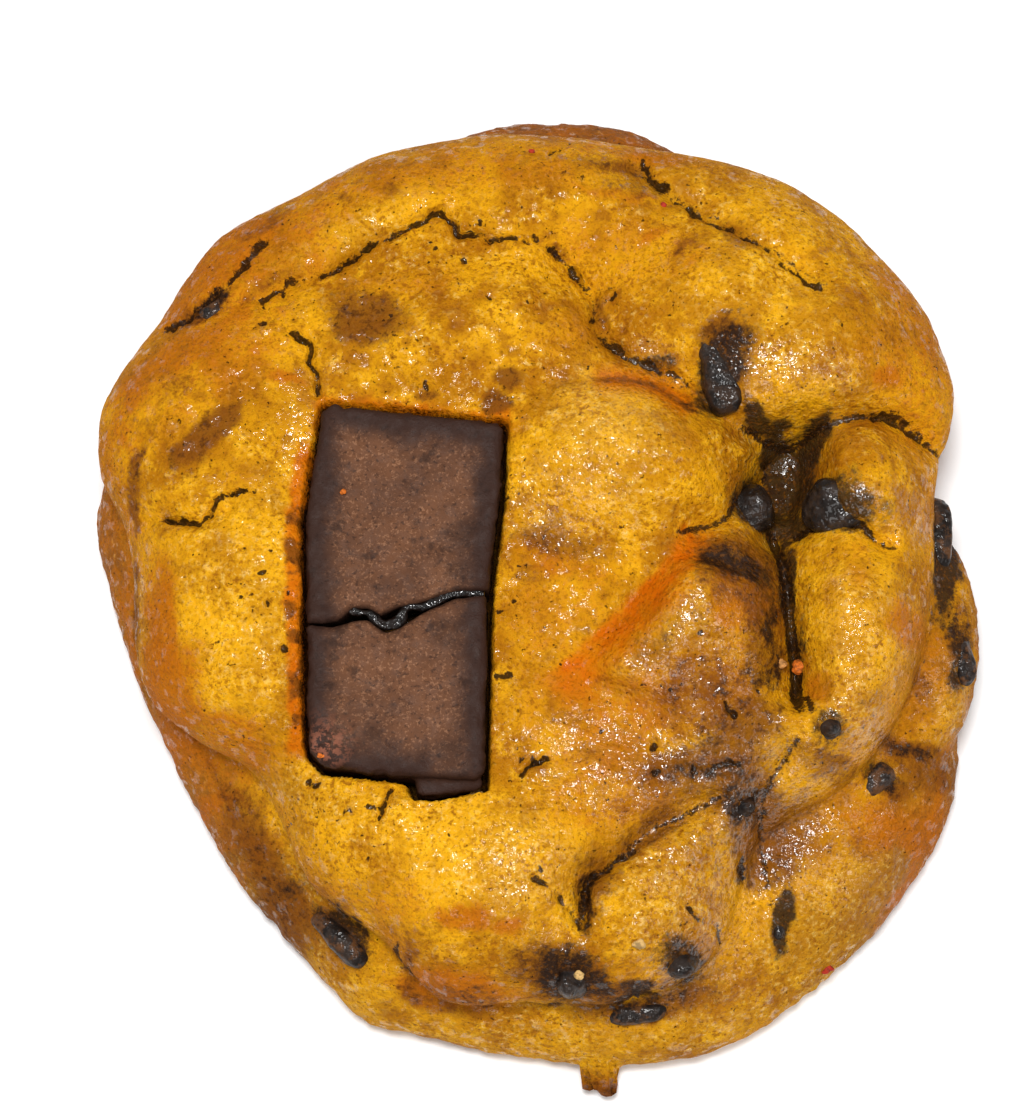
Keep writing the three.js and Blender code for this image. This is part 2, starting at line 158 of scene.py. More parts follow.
def readPoints(piece):
    points = np.empty(len(piece.data.vertices) * 3)
    piece.data.vertices.foreach_get("co", points)
    return points.reshape(-1, 3)


def writePoints(piece, points):
    piece.data.vertices.foreach_set("co", np.ascontiguousarray(points, dtype=np.float32).ravel())
    piece.data.update()


def readNormals(piece):
    normals = np.empty(len(piece.data.vertices) * 3)
    piece.data.vertices.foreach_get("normal", normals)
    return normals.reshape(-1, 3)


def paint(piece, name, *channels):
    layer = piece.data.color_attributes.new(name=name, type="FLOAT_COLOR", domain="POINT")
    values = np.ones((len(piece.data.vertices), 4), dtype=np.float32)
    for i, channel in enumerate(channels):
        values[:, i] = channel
    layer.data.foreach_set("color", values.ravel())


doughForm = {
    "lowerTop": 10.5, "edgeRound": 9, "footRound": 3.5, "inwardRise": 2.5, "riseOver": 12,
    "upperTop": 24.5, "rimDrop": 3.5, "shoulder": 12, "underside": 9.5, "underRound": 8,
    # the fold bottoms are sharper than in the solid, where they are 0.9
    "halfWidth": 51, "layerSeam": 1.6, "foldRound": 0.35,
    "lowerOutline": [
        (5, 47), (20, 47), (40, 51), (60, 53), (74, 56.7), (80, 57.7), (86, 57.8), (98, 56.8), (110, 52.5),
        (130, 51.5), (150, 51.5), (168, 52.3), (184, 48.6), (205, 46.1), (229, 48.1), (240, 50.2),
        (248, 52.6), (258, 52.3), (271, 53.5), (289, 56), (297, 56), (304, 55.3), (321, 54.5), (334, 53.4),
        (345, 50.4),
    ],
    "upperOutline": [
        (4, 46.3), (12, 47.3), (20, 51.6), (27, 54.7), (43, 56.3), (56, 56.6), (70, 54.8), (80, 53.7),
        (98, 54.2), (110, 54.4), (121, 53.9), (133, 55.6), (146, 54.4), (158, 54.9), (166, 52.6),
        (173, 48.1), (181, 46.4), (196, 46.7), (206, 43), (214, 39.6), (223, 40.3), (234, 43.7), (247, 45),
        (258, 49.8), (269, 49), (280, 50), (293, 49.4), (304, 45.8), (314, 41.8), (325, 42.9), (340, 44.2),
    ],
    # at, half sizes, turn in degrees, height
    "swells": {
        "leftSide": ((-36, -5), (11, 20), 4, 2.6),
        "upperLeft": ((-34, 22), (13, 10), 35, 1.2),
        "northRim": ((-9, 44), (27, 7), 3, 1.6),
        "plateau": ((-9, 28.5), (16, 8), -4, 1.8),
        "upperRight": ((28.5, 27.5), (15, 12), -38, 4.6),
        "centreDome": ((9.5, 12), (12, 9), -12, 4.2),
        "rightLobe": ((36.8, 10.5), (6.5, 6.5), 0, 2.2),
        "rightColumn": ((37, -8), (7, 13), 4, 3),
        "brownMass": ((20.5, -8), (7, 12), -8, 3.2),
        "columnFoot": ((32, -20), (9, 6), 40, 1.2),
        "lowerMass": ((-10, -36), (18, 10), -6, 2.6),
        "lowerKnob": ((13, -40), (8, 6), 10, 1.2),
        "middleSouth": ((6, -27), (13, 7), 10, 1),
        "middleHollow": ((2, -5), (9, 12), 0, -1.6),
        "southEastSlope": ((31, -36), (13, 11), 40, -6),
        "chipPit": ((27.8, 10), (3.9, 6.6), -22, -8.5),
        "barBed": ((-14.8, -3.4), (14, 25), -4, 0.9),
    },
    # depth, dip on the left and on the right of the way the path runs, path
    "folds": {
        "crownCrack": (1.5, 1.1, 3.4, [(-43.5, 27.4), (-36.3, 30), (-24.7, 33.8), (-18.3, 37.6), (-10.4, 40.9),
                                       (-8.6, 38.2), (1.2, 36.8)]),
        "crownValley": (3.2, 3.4, 2.4, [(-1, 37.4), (4.3, 34.5), (7.2, 28.6), (9.2, 24.4), (17.1, 20.2),
                                        (22.6, 15.8), (27, 13.2)]),
        "upperRightFold": (2.2, 1.8, 3, [(10.4, 49), (12.6, 45.6), (19.8, 41.1), (27.2, 36), (36, 29.2)]),
        "domeLip": (5, 1.5, 3.6, [(21, 17.4), (25.9, 15.2), (29.5, 15.4), (32.9, 16.7), (38.4, 17.6),
                                    (43, 15.9), (48.5, 12.5)]),
        "centreArc": (0.8, 1.4, 1.6, [(-2.4, 19.4), (2.5, 20.8), (8.1, 21.4), (13.6, 19.9), (18.6, 15.8)]),
        "centreEast": (3, 2.4, 2, [(25.6, 14.6), (26.2, 12.8), (24.9, 10), (22.4, 7.6), (21, 5.2), (18, 4),
                                   (14, 2.8)]),
        "columnWest": (5.4, 1.9, 1.7, [(25.6, 6), (27.5, 1.6), (28.2, -5), (28.8, -12), (29, -18)]),
        "columnTop": (2.6, 2, 1.6, [(27.4, 3.8), (30, 4.1), (33.2, 4.9), (35.6, 4.4), (38.3, 2.7), (41, 1.6)]),
        "middleSeam": (0.7, 2, 2, [(-4.4, -24.6), (0.3, -22.3), (6.9, -20.6), (13, -18.8)]),
        "knobSeam": (3.2, 1.6, 2, [(23, -24.6), (17.9, -27.1), (12.4, -29.8), (8.4, -33.2), (5.4, -35.9),
                                   (4.6, -39.1), (5, -43.5)]),
        "footSeam": (2.4, 1.6, 2, [(30, -18), (25.4, -25), (25.2, -31), (27, -40)]),
        "leftCrack": (1.2, 0.9, 0.9, [(-45, 4.8), (-42.1, 5.8), (-37.6, 4.8), (-31.6, 8.2)]),
        "cornerCrack": (1.1, 0.9, 0.9, [(-26.6, 28), (-25.3, 21.9), (-24.2, 18.4)]),
    },
    # height, reach on the left and on the right, path
    "ridges": {
        "glazedRidge": (3, 5, 3, [(19.2, 0.6), (17.8, -2.6), (15.3, -5.4), (12.2, -8.8), (9.6, -11.7),
                                  (7.8, -15)]),
    },
    # place, half sizes, turn
    "sideLumps": {
        "rightBulge": ((42.3, -5, 8.6), (8.4, 14.6, 6.2), 4),
        "southCrumb": ((7.2, -55.3, 2.2), (2.1, 2, 1.7), 20),
    },
}

# Cracks in the crust: half width, depth, path. The paths follow the real ones, the widths and depths are
# judged
crustCracks = {
    "crownRim": (0.45, 1.5, [(-26.2, 33.7), (-23.6, 33.9), (-20.9, 35.5), (-18.7, 37.3), (-15.7, 38.7),
                             (-12.2, 40.7), (-10.9, 41.1), (-9.5, 39.5), (-8.8, 38.2), (-6.6, 38.5),
                             (-5.4, 37.8), (-3.4, 38), (-1, 37.6), (0, 37.3)]),
    "crownTail": (0.55, 1.2, [(0, 37.3), (1.9, 36.7), (3.7, 35.1), (5.4, 33), (6.6, 31.6), (6.2, 28.8),
                              (6.8, 26.5), (9.3, 24.9), (12.1, 23.5), (16, 21.9), (18.5, 19.3)]),
    "crownForkWest": (0.3, 0.9, [(-6.6, 38.9), (-6.5, 40.1)]),
    "crownForkMiddle": (0.3, 0.9, [(0, 37.3), (-0.1, 39.2)]),
    "crownForkEast": (0.35, 1, [(6.6, 31.6), (8.4, 31.9), (8.3, 30.5)]),
    "barCorner": (0.4, 1.2, [(-29.8, 28), (-26.6, 25.8), (-25.7, 24.8), (-25.7, 23.7), (-25.1, 22),
                             (-24.7, 20), (-24.1, 19.1)]),
    "rimSeam": (0.7, 1, [(-43.6, 27.8), (-41, 28.6), (-38.9, 29.9), (-36.7, 31.7), (-35, 33.3), (-32, 37),
                         (-30.5, 38.2), (-28, 40.2)]),
    "innerSeam": (0.5, 0.5, [(-32.9, 27.5), (-29.9, 28.8), (-31.1, 30.6), (-28.7, 32.5), (-26.6, 33.6)]),
    "left": (0.45, 1.5, [(-42.3, 5.7), (-41.3, 5.1), (-40.1, 5), (-39.1, 4.5), (-37.8, 4.3), (-36.6, 5.1),
                         (-36.1, 6.6), (-34.9, 7.5), (-33.7, 8), (-31.9, 8), (-30.8, 7.2)]),
    "starLow": (0.4, 1, [(-28.9, -28.9), (-27.7, -28.5), (-26.8, -27.5)]),
    "starLowEast": (0.35, 0.9, [(-27.9, -29.8), (-26.5, -29.9)]),
    "cornerLow": (0.4, 0.9, [(-25.8, -24), (-24.9, -24.7), (-23.8, -24.6)]),
    "belowBar": (0.35, 1.1, [(-17.7, -29.8), (-17.1, -27.7), (-16.3, -26.2), (-15.9, -25.2)]),
    "belowBarWest": (0.35, 0.7, [(-21.7, -28.2), (-19.3, -27.7), (-16.9, -27.6)]),
    "massSeam": (0.6, 0.9, [(-14.6, -41), (-15.7, -43), (-14.8, -44.3), (-14, -45.6), (-12.8, -47.7),
                            (-10.1, -49), (-6.4, -49.2)]),
    "star": (0.4, 1.2, [(-1.9, -24), (-1, -23.3), (0, -22.3), (1.6, -22)]),
    "starTip": (0.35, 1, [(-0.4, -22.8), (-0.7, -21.9)]),
    "knobTop": (0.5, 1.2, [(11.3, -31.4), (8.4, -33.5), (5.8, -35.1), (5.2, -37.5), (5.4, -40.4)]),
    "knobWest": (0.5, 0.9, [(-0.9, -35), (0.4, -35.8), (2, -37.4), (3.6, -39.1), (4.2, -40.7)]),
    "knobEast": (0.55, 1, [(16.3, -37.9), (17.5, -39), (18.3, -39.5), (19.8, -40.1), (20.4, -42)]),
    "slit": (0.6, 1.6, [(7, -49), (8.3, -48.7), (9.9, -48.4), (11.2, -47.1), (12.6, -47.1), (14.2, -47.4)]),
    "slitEast": (0.4, 1, [(12, -49.2), (14, -48.9)]),
    "rimNorth": (0.3, 0.9, [(3.8, 50.4), (3.3, 49.7), (2.6, 48.6), (0.9, 48.6)]),
    "rimNorthEast": (0.5, 1.1, [(12.1, 48.9), (12.6, 47.4), (12.9, 46), (15.9, 44.3)]),
    "upperRight": (0.5, 0.9, [(12.8, 45.1), (16.2, 42.7), (19.8, 40.2), (22.3, 38.7), (24.3, 37.3),
                              (26.3, 35.7), (28.5, 33.8), (31.9, 31), (33.9, 30.3)]),
    "barSideTop": (0.3, 0.8, [(-3.8, 6.9), (-2.9, 8.1), (-1.9, 7.2)]),
    "barSideMiddle": (0.25, 0.7, [(-4.7, -5.7), (-3.4, -5.5)]),
    "barSideLow": (0.3, 0.7, [(-4.8, -13.1), (-2.6, -12.8)]),
    "barSideBranch": (0.3, 0.6, [(-2.7, -3.4), (-2.9, -4.6)]),
    "plateau": (0.3, 0.6, [(-13.1, 19.6), (-12.4, 20.5), (-12.7, 19.3)]),
    "column": (0.4, 0.9, [(29, 4.2), (30.7, 4.9), (32.7, 5), (34.5, 5), (36.2, 4.5), (37.3, 3.7),
                          (38.1, 2.5)]),
    "columnEast": (0.5, 0.8, [(37.3, 16.9), (38.7, 17.7), (41.3, 17.8), (42.6, 17.1), (44.3, 15.9)]),
    "lowRight": (0.5, 1, [(16.8, -22.8), (17.9, -23.9), (20.4, -23), (22.8, -22.1)]),
    "lowRightKnot": (0.45, 1, [(21.1, -26.9), (22.2, -27.6), (22.7, -26.3), (23.8, -26.7)]),
    "lowRightTail": (0.45, 0.9, [(23, -31.7), (22.4, -33.3), (23.1, -34.4)]),
    "brownMass": (0.35, 0.8, [(20.4, -15.7), (21.2, -17.1), (22.1, -18)]),
    "middle": (0.3, 0.8, [(12.8, -23), (13, -23.9)]),
    "middleWest": (0.3, 0.7, [(5.8, -18.2), (6.9, -18.5)]),
    "rightPit": (0.4, 0.7, [(30, -16.7), (30.4, -15.6), (29.8, -14.5)]),
}

# Bubbles that burst in the oven, each a dent painted dark inside as painted shade: x, y, radius
crustPits = [
    (-30.6, -1.3, 0.37), (-29.9, -5.1, 0.43), (-32.5, 1.3, 0.31), (-32.9, -4, 0.26), (-29.6, 1, 0.23),
    (-31.9, -3.9, 0.23), (-32.7, 8.2, 0.18), (-31.7, -5.7, 0.2), (-8, 35.1, 0.31), (-12.4, 35.1, 0.28),
    (-11.3, 36.5, 0.28), (-11.7, 37.2, 0.2), (9.2, 37.3, 0.26), (-5.5, 30.1, 0.23), (-1, 29.8, 0.23),
    (-0.5, 28.7, 0.2), (-16.4, 28.1, 0.26), (-24.1, 33.9, 0.37), (-28.7, 31.5, 0.34), (-46.9, 18.5, 0.26),
    (1.5, -53.1, 0.43), (-4.9, -52.3, 0.28), (20.1, -50.6, 0.37), (13.1, -23.5, 0.43), (12.7, -20.6, 0.48),
    (-1.9, -22.3, 0.28), (13.5, -14.3, 0.26), (14.4, -14.7, 0.23), (31.3, -38, 0.26), (30.2, -35.2, 0.28),
    (0.2, -34.5, 0.34), (2.5, -11.4, 0.23), (-0.6, 1.1, 0.23), (2.3, -0.2, 0.23), (34.4, 26.6, 0.2),
    (18.4, 34.6, 0.23), (5.9, 22.6, 0.23), (-10.1, 31.8, 0.17), (-36.7, -20.7, 0.43), (-37.1, -31, 0.26),
    (-33, -26.3, 0.28), (-18.8, -33.1, 0.23), (-7.9, -31.9, 0.23), (-9.8, -30.7, 0.2), (13.4, -33.4, 0.23),
    (5.3, -20.7, 0.28), (6.9, -19, 0.26), (24.3, -38.7, 0.26), (18, -8.9, 0.23), (-27.5, -3.9, 0.31),
    (-28.2, -10, 0.51), (-22.1, 16.5, 0.17), (24.6, -14.5, 0.26),
]

# Where the crust looks different: x, y, half sizes, turn in degrees, strength
crustColouring = {
    "toast": [
        (-42, -9.1, 2, 8.5, 2, 1), (-40.1, -14.8, 2.7, 5.7, -20, 0.7), (-34.1, -19.1, 4.5, 2.5, -20, 0.55),
        (-46.9, -5.9, 0.9, 5.7, 5, 0.5), (-33.2, 9.2, 2.7, 1.4, 0, 0.3), (-9.8, 22.4, 6.8, 3.2, 0, 0.22),
        (-15.5, 31.8, 8, 2.3, 10, 0.35), (2.6, 26.3, 4.5, 3.4, 0, 0.3), (-27.7, 21.4, 2.3, 0.9, -10, 0.8),
        (-8, -39.8, 3.4, 1.2, -5, 0.8), (-2.8, -40.6, 1.7, 1, 0, 0.8), (-10.2, -46.6, 6.8, 1.6, -10, 0.8),
        (-15.1, -37.5, 2.3, 4.5, 15, 0.25), (39.4, 21.3, 1, 1.5, 0, 0.8), (38.5, 24.8, 3.4, 4.5, -40, 0.3),
        (41.9, 31.4, 2.5, 6.8, 28, 0.45), (11.8, 49.3, 6.8, 1.1, -12, 0.4), (38.8, -28.1, 3.9, 3, 30, 0.6),
        (44, -30.1, 1.8, 6.8, -20, 0.7), (41.7, -35.7, 1.6, 5.7, -38, 0.6), (25.2, -50.3, 6.8, 1.1, 25, 0.4),
        (35.9, 0.1, 1.6, 3.4, 0, 0.3), (40.8, -6.5, 2.5, 2.3, 0, 0.6), (31.3, -14.2, 1.6, 2, 20, 0.6),
        (17.9, -14.6, 6.8, 4.5, 20, 0.6), (22.4, -4.7, 4.5, 4.5, 0, 0.8), (17.2, 35.9, 2.7, 1.8, 30, 0.3),
        (13.3, 38.2, 1.8, 0.7, 30, 0.5), (9.4, 43.3, 4.5, 0.9, -10, 0.5), (2.5, 0.1, 5.7, 1.6, -15, 0.4),
        (-35.6, -33.2, 1.6, 6.8, -62, 0.4), (-39.7, -26.3, 1.1, 6.8, -64, 0.7),
        (-45.9, 9.4, 1.6, 10.2, 0, 0.35), (-47.7, 16.9, 1.6, 6.8, -15, 0.5), (-42.8, 23.2, 4.5, 2.3, 40, 0.4),
        (7.1, -50.3, 10.2, 0.9, 0, 0.25), (-30, 36, 12, 5, 38, 0.5), (-6, 46.5, 17, 4, 6, 0.34),
        (-38, 22, 9, 7, 40, 0.35), (-33.5, 26.5, 7, 5, 40, 0.3), (2, -5, 6.5, 9, 0, 0.35),
        (4, -18, 8, 6, 0, 0.3), (8, -26, 9, 4, 10, 0.48), (10, 36, 10, 5, -10, 0.3), (43, 20, 4, 7, -20, 0.4),
        (9, -17, 6, 5, 0, 0.35),
    ],
    "stain": [
        (-36.9, 15.2, 5.2, 1.7, 38, 0.95), (-38.8, 12.7, 2.5, 1.6, 40, 0.6), (-18.8, 27.8, 3.9, 3, 0, 0.9),
        (-21.6, 29.9, 3.4, 2.7, 0, 0.45), (-40.3, 20.6, 3, 1.4, 10, 0.5), (-37.8, 30.5, 3.9, 1.4, 38, 0.9),
        (-30.2, 32.3, 3.4, 0.9, 30, 0.6), (-2.5, -15.7, 0.9, 3.4, 0, 0.2), (2.5, 2, 5.2, 1.6, -8, 0.6),
        (-0.8, -1.2, 2.3, 0.9, 0, 0.5), (22.2, -0.1, 5, 3.2, -20, 0.85), (25.2, -6.7, 2.5, 7.5, 0, 0.75),
        (17.9, -4.9, 1.8, 5.7, -35, 0.35), (16.8, -15.9, 4.5, 4.5, 0, 0.4), (12.4, -10.1, 2.3, 1.8, 0, 0.4),
        (17.9, -22.8, 6.8, 2.3, 10, 0.9), (12.4, -29.9, 5.7, 1.6, 30, 0.7), (23.5, -26.4, 4.1, 4.1, 0, 0.8),
        (25.2, -31.7, 3.9, 3.9, 20, 0.85), (17.9, -32, 2.5, 2.3, 0, 0.4), (5.8, -36.2, 1.6, 5, 0, 0.7),
        (2.5, -45.3, 5.9, 3, -12, 0.85), (16.9, -44.1, 4.1, 3, 0, 0.55), (12.6, -48, 7.5, 1.6, 6, 0.9),
        (8, -35.7, 1.6, 1.6, 0, 0.5), (22.2, 24.5, 3.4, 3.4, 0, 0.6), (20.5, 26.1, 2.5, 1.8, 0, 0.8),
        (22.7, 19, 1.8, 3, 0, 0.5), (-3.1, 20.7, 1.4, 1.4, 0, 1), (-5, 18.2, 1.6, 1.1, -30, 1),
        (-12.6, 19.1, 1.6, 0.9, 0, 0.7), (44.7, -21.1, 5, 2.5, -10, 0.7), (41.3, -18.8, 3.4, 1.1, 0, 0.9),
        # the marks at (-32.6, -28.3) and (-28.6, -35.7) are stain with painted shade in the groove at the foot of
        # the upper layer
        (43.6, -12.1, 1.4, 2.3, 20, 0.6), (48.3, -5.1, 1.6, 4.5, 10, 0.5), (-32.6, -28.3, 5.2, 2.3, -62, 0.7),
        (-28.6, -35.7, 4.5, 2.5, -60, 0.9), (-33.8, -23.3, 4.5, 1.1, -40, 0.5),
        (-21.1, -41.1, 3.4, 2, -35, 0.6), (-14.1, -43.6, 0.9, 2.7, 0, 0.6),
        (-10.9, -47.5, 5.7, 0.9, -12, 0.55), (11.7, 44.4, 5, 1.8, -10, 0.35), (17.2, 36.5, 3, 0.9, 40, 0.5),
        (7.1, 28.9, 1.1, 2.7, 0, 0.6), (2.6, 36.5, 1.6, 0.9, -30, 0.6), (9.5, 47.4, 2.3, 0.9, 0, 0.3),
        (23, 38.5, 2.5, 1.8, -40, 0.4), (-21.9, 43.3, 1.6, 0.7, -10, 0.6), (-16.2, 43.6, 1.4, 0.9, -40, 0.7),
        (-31.2, 40.9, 4.5, 0.9, 38, 0.5), (2, 3.5, 1.4, 2.3, 0, 0.3), (11.3, -26.6, 6.8, 1.6, 10, 0.3),
        (31.4, -21.8, 5, 1.8, -14, 0.6), (36.4, -30, 3.2, 2, 0, 0.3), (40.6, -24, 2, 1.4, 0, 0.7),
        (36.9, -15.4, 1.6, 1.4, 0, 0.3), (6.9, -13.5, 1.1, 0.7, 0, 0.4), (2.5, -11.2, 0.9, 0.7, 0, 0.2),
        (3.6, -18, 2.7, 1.1, -20, 0.45), (-45, 9.4, 0.7, 5.7, -4, 0.9), (-45.6, -4.3, 0.6, 6.8, 2, 0.7),
        (-29.5, -39, 3.5, 5, 30, 0.7), (18.5, -14, 5, 4, 30, 0.5), (23, -18, 4.5, 2.5, 10, 0.9),
        (22.5, -3, 4.5, 3, -20, 0.5), (30, -29, 3, 4, 0, 0.5), (8, 47.5, 6, 1, -8, 0.5),
    ],
    "cocoa": [
        (28.6, 11.5, 3, 3.9, 0, 0.9), (31.3, 15.1, 2.7, 1.4, 45, 1), (26.9, 15, 1.6, 2.3, 0, 0.9),
        (29.6, 5.8, 4.5, 1.4, 0, 0.9), (24.8, 8.1, 3, 3.4, 0, 0.8), (33.6, 7.5, 3.6, 3.2, 0, 0.55),
        # the thin marks at (28, -0.2) and (29, -10.5) are dark chocolate with painted shade in the fold west of
        # the column
        (28, -0.2, 0.9, 6.8, -3, 0.9), (29, -10.5, 0.9, 4.5, -8, 0.6), (20.5, 22.2, 2.7, 5.7, -22, 0.9),
        (24.6, 16.9, 1.6, 1.8, 0, 0.8), (13.8, 23.5, 1.6, 0.9, -20, 0.6), (36.7, 6, 3.9, 1.8, -12, 0.45),
        # the long marks at (46.5, 2.6) and (47.9, -9) are dark chocolate with painted shade in the crease between
        # the column and the bulge
        (46.5, 2.6, 1.6, 9.1, -2, 1), (47.9, -9, 1.6, 3.9, -10, 0.8), (38.7, -22.5, 2, 1.8, 30, 0.9),
        (41.9, -19.1, 2.7, 0.9, 0, 0.6), (-21.7, -39.9, 3.9, 1.8, -38, 1), (-28, -34.6, 2.3, 3, -50, 0.35),
        (-37, 31.4, 2.7, 1, 38, 1), (3.6, -45.3, 4.1, 2.7, 0, 0.9), (5.6, -37.8, 0.8, 3.9, 0, 0.8),
        (16.2, -43.7, 3, 2, -10, 0.8), (11.5, -47.5, 5.7, 1.1, 4, 0.7), (27.5, -38.6, 1.4, 3.6, -6, 1),
        (22.7, -26.3, 2.3, 2.7, 0, 0.7), (22.4, -33.9, 1.1, 1.6, 0, 0.6), (32.2, -18.4, 2.3, 2, 0, 0.7),
        (21.6, -0.6, 4.2, 2.2, -20, 0.85), (17.9, -23.4, 4.6, 1.3, 10, 0.5), (24, -13, 2, 1.6, 0, 0.5),
        (26, -8, 0.8, 6, 0, 0.6), (0.3, -22.5, 1.1, 0.9, 30, 0.5), (-6.4, -47.6, 2.3, 0.5, -10, 0.5),
        (20.1, -14.8, 1.1, 0.9, 0, 0.4), (17.9, -20.2, 3, 1.4, 0, 0.35),
    ],
    "gloss": [
        (9.2, 17.7, 6.4, 5.2, -20, 1), (28.2, 19.6, 8, 4.1, -10, 0.9), (12.7, 24.2, 3, 2, -20, 0.8),
        (14.6, -9.4, 5.7, 2.7, 52, 0.9), (11.3, -13.7, 3.9, 2.7, 0, 0.7), (20.2, -28.6, 10.2, 8, 20, 0.9),
        (-0.8, -35.6, 5.2, 6.8, 20, 0.35), (18, -42.6, 6.8, 5.7, 0, 0.7), (35.8, -18, 3.4, 2.7, 0, 0.8),
        (46, -13.1, 3, 4.5, 0, 0.5), (38.3, 6, 5.7, 3, 0, 0.6), (2.5, 6.7, 5.7, 4.5, 0, 0.6),
        (29.5, 15.2, 6.8, 2.3, 0, 0.9), (-26.5, 15.9, 1.8, 5.7, -8, 0.6), (-23.2, 22.8, 1.4, 0.9, 0, 0.3),
        (8, -22.3, 8, 4.5, 0, 0.6), (35.7, -9, 5.7, 6.8, 0, 0.3), (34.1, -31.7, 6.8, 5.7, 0, 0.5),
        (25.9, 0.1, 5.7, 6.8, 0, 0.5), (19, -11, 5, 7, 0, 0.5), (26, -24, 6, 5, 0, 0.8),
    ],
    # Paler dough; the patches on the small dome at (7.5, 15) and on the ridge crest at (17.4, -3) are painted
    # highlight
    "brightAndHighlight": [
        (-31.8, -4.7, 8, 12.5, -6, 0.6), (-21.2, 38.5, 9.1, 1.8, 25, 0.7), (-6.3, -33.5, 10.2, 5.7, -6, 0.7),
        (0.3, 9, 3.4, 3.4, 0, 0.2), (10.7, 5.9, 3.7, 2.7, -22, 0.7), (7.5, 15, 6.5, 4.5, -15, 0.7),
        (-26.2, -25.4, 4.5, 3.4, 0, 0.6), (24.9, 29.2, 9.1, 6.8, -30, 0.4), (36.9, -6.7, 4.5, 5.7, 0, 0.6),
        (18.6, 43.9, 6.8, 2.3, -25, 0.3), (29.6, -40.5, 5, 5, 0, 0.7), (9.3, -50.4, 9.1, 1.8, 0, 0.7),
        (-18.8, -47.2, 2.7, 1.4, 0, 0.4), (47.2, -14.6, 2.3, 2.3, 0, 0.7), (-17.4, -27.8, 9.1, 1.8, 0, 0.5),
        (2.5, -6.7, 4.5, 6.8, 0, 0.25), (29.5, -34.1, 3.4, 2.7, 0, 0.5), (12.4, -30.9, 4.5, 1.8, 20, 0.2),
        (12, -37.5, 5, 4.5, 0, 0.65), (17.4, -3, 2.6, 4.2, -25, 0.55), (35.5, -15, 4, 5, 0, 0.4),
    ],
    "crumbly": [
        (20.2, -26.4, 10.2, 6.8, 20, 1), (22.4, -4.7, 5.7, 8, 0, 0.8), (11.3, -37.3, 6.8, 6.8, 0, 0.8),
        (2.5, 1.6, 6.8, 3, -8, 0.6), (41.2, -24.6, 6.8, 6.8, 0, 0.6), (-26.4, -4.5, 2.3, 18.2, -3, 0.5),
        (2.5, -45.8, 6.8, 4.5, 0, 0.9), (27.4, 12.5, 6.8, 6.8, 0, 0.6), (-29.2, -33.4, 5.7, 6.8, -50, 0.7),
        (48.4, -6.1, 3.4, 9.1, 0, 0.6), (18, -42.5, 6.8, 5.7, 0, 0.7), (11.6, 24.2, 4.5, 3.4, -20, 0.6),
        (-20.7, -26.7, 6.8, 2.7, 0, 0.5), (6.9, -24.5, 9.1, 4.5, 0, 0.6), (29.6, -41.6, 6.8, 6.8, 0, 0.5),
    ],
}

barForm = {
    "topAt": 25.4, "tilt": 0.8, "thick": 8, "bedGap": 0.5, "wallRound": 0.7, "underGap": 0.3, "rimSunk": 0.3,
    "outline": [(-25.7, -6.9), (-25.4, -15.1), (-25.2, -21.4), (-23.6, -23.1), (-15.5, -24.1), (-13.9, -24.3),
                (-13.3, -26), (-11.6, -26.2), (-6, -25.3), (-5.6, -11.8), (-5.5, -3.6), (-4.1, 7.5),
                (-3.8, 15.7), (-23.9, 17.9), (-25.8, 4.8)],
}


def barTopAt(y):
    return barForm["topAt"] + y * math.sin(math.radians(barForm["tilt"]))


# The outline's radius at each half degree, bent smoothly through its points
def outlineTable(points):
    degrees = np.arange(0, 360.5, 0.5)
    count = len(points)
    pick = lambda i: (points[i % count][0] + 360 * (i // count), points[i % count][1])
    radii = []
    for turn in degrees:
        turn = turn % 360
        after = next((i for i, p in enumerate(points) if p[0] > turn), count)
        before, start, end, behind = (pick(after + step) for step in (-2, -1, 0, 1))
        span = end[0] - start[0]
        t = (turn - start[0]) / span
        slopeIn = (end[1] - before[1]) / (end[0] - before[0]) * span
        slopeOut = (behind[1] - start[1]) / (behind[0] - start[0]) * span
        radii.append((2 * t ** 3 - 3 * t ** 2 + 1) * start[1] + (t ** 3 - 2 * t ** 2 + t) * slopeIn
                     + (3 * t ** 2 - 2 * t ** 3) * end[1] + (t ** 3 - t ** 2) * slopeOut)
    return degrees, np.array(radii)


lowerTable = outlineTable(doughForm["lowerOutline"])
upperTable = outlineTable(doughForm["upperOutline"])


def outlineRadius(table, angle):
    return np.interp(np.degrees(angle) % 360, *table)


def unevenness(x, y):
    longWave = np.sin(x / 6.1 + 1.9 * np.sin(y / 8.3)) * np.cos(y / 5.7 + 1.3 * np.sin(x / 9.1))
    shortWave = np.sin(x / 2.9 - y / 4.1) * np.cos(y / 3.1 + x / 5.3)
    return 0.45 * longWave + 0.18 * shortWave


def turned(x, y, degrees):
    c, s = math.cos(math.radians(degrees)), math.sin(math.radians(degrees))
    return x * c + y * s, y * c - x * s


def patchStrength(patches, x, y, softness):
    total = np.zeros(x.shape)
    for px, py, rx, ry, turn, strength in patches:
        u, v = turned(x - px, y - py, turn)
        u, v = u / rx, v / ry
        value = strength * (1 - smoothStep(np.sqrt(u * u + v * v), 1 - softness, 1 + softness))
        total = 1 - (1 - total) * (1 - value)
    return total


# The top's height is worked out once on a fine grid and read from it afterwards
gridStep, gridHalf = 0.15, 61.5
gridLine = np.arange(-gridHalf, gridHalf + gridStep / 2, gridStep)
gridX, gridY = np.meshgrid(gridLine, gridLine)
pointsOnGrid = flat(gridX, gridY)
raggedX = gridX + 0.7 * noise(pointsOnGrid, 1.2, 3, 3)
raggedY = gridY + 0.7 * noise(pointsOnGrid, 1.2, 5, 3)


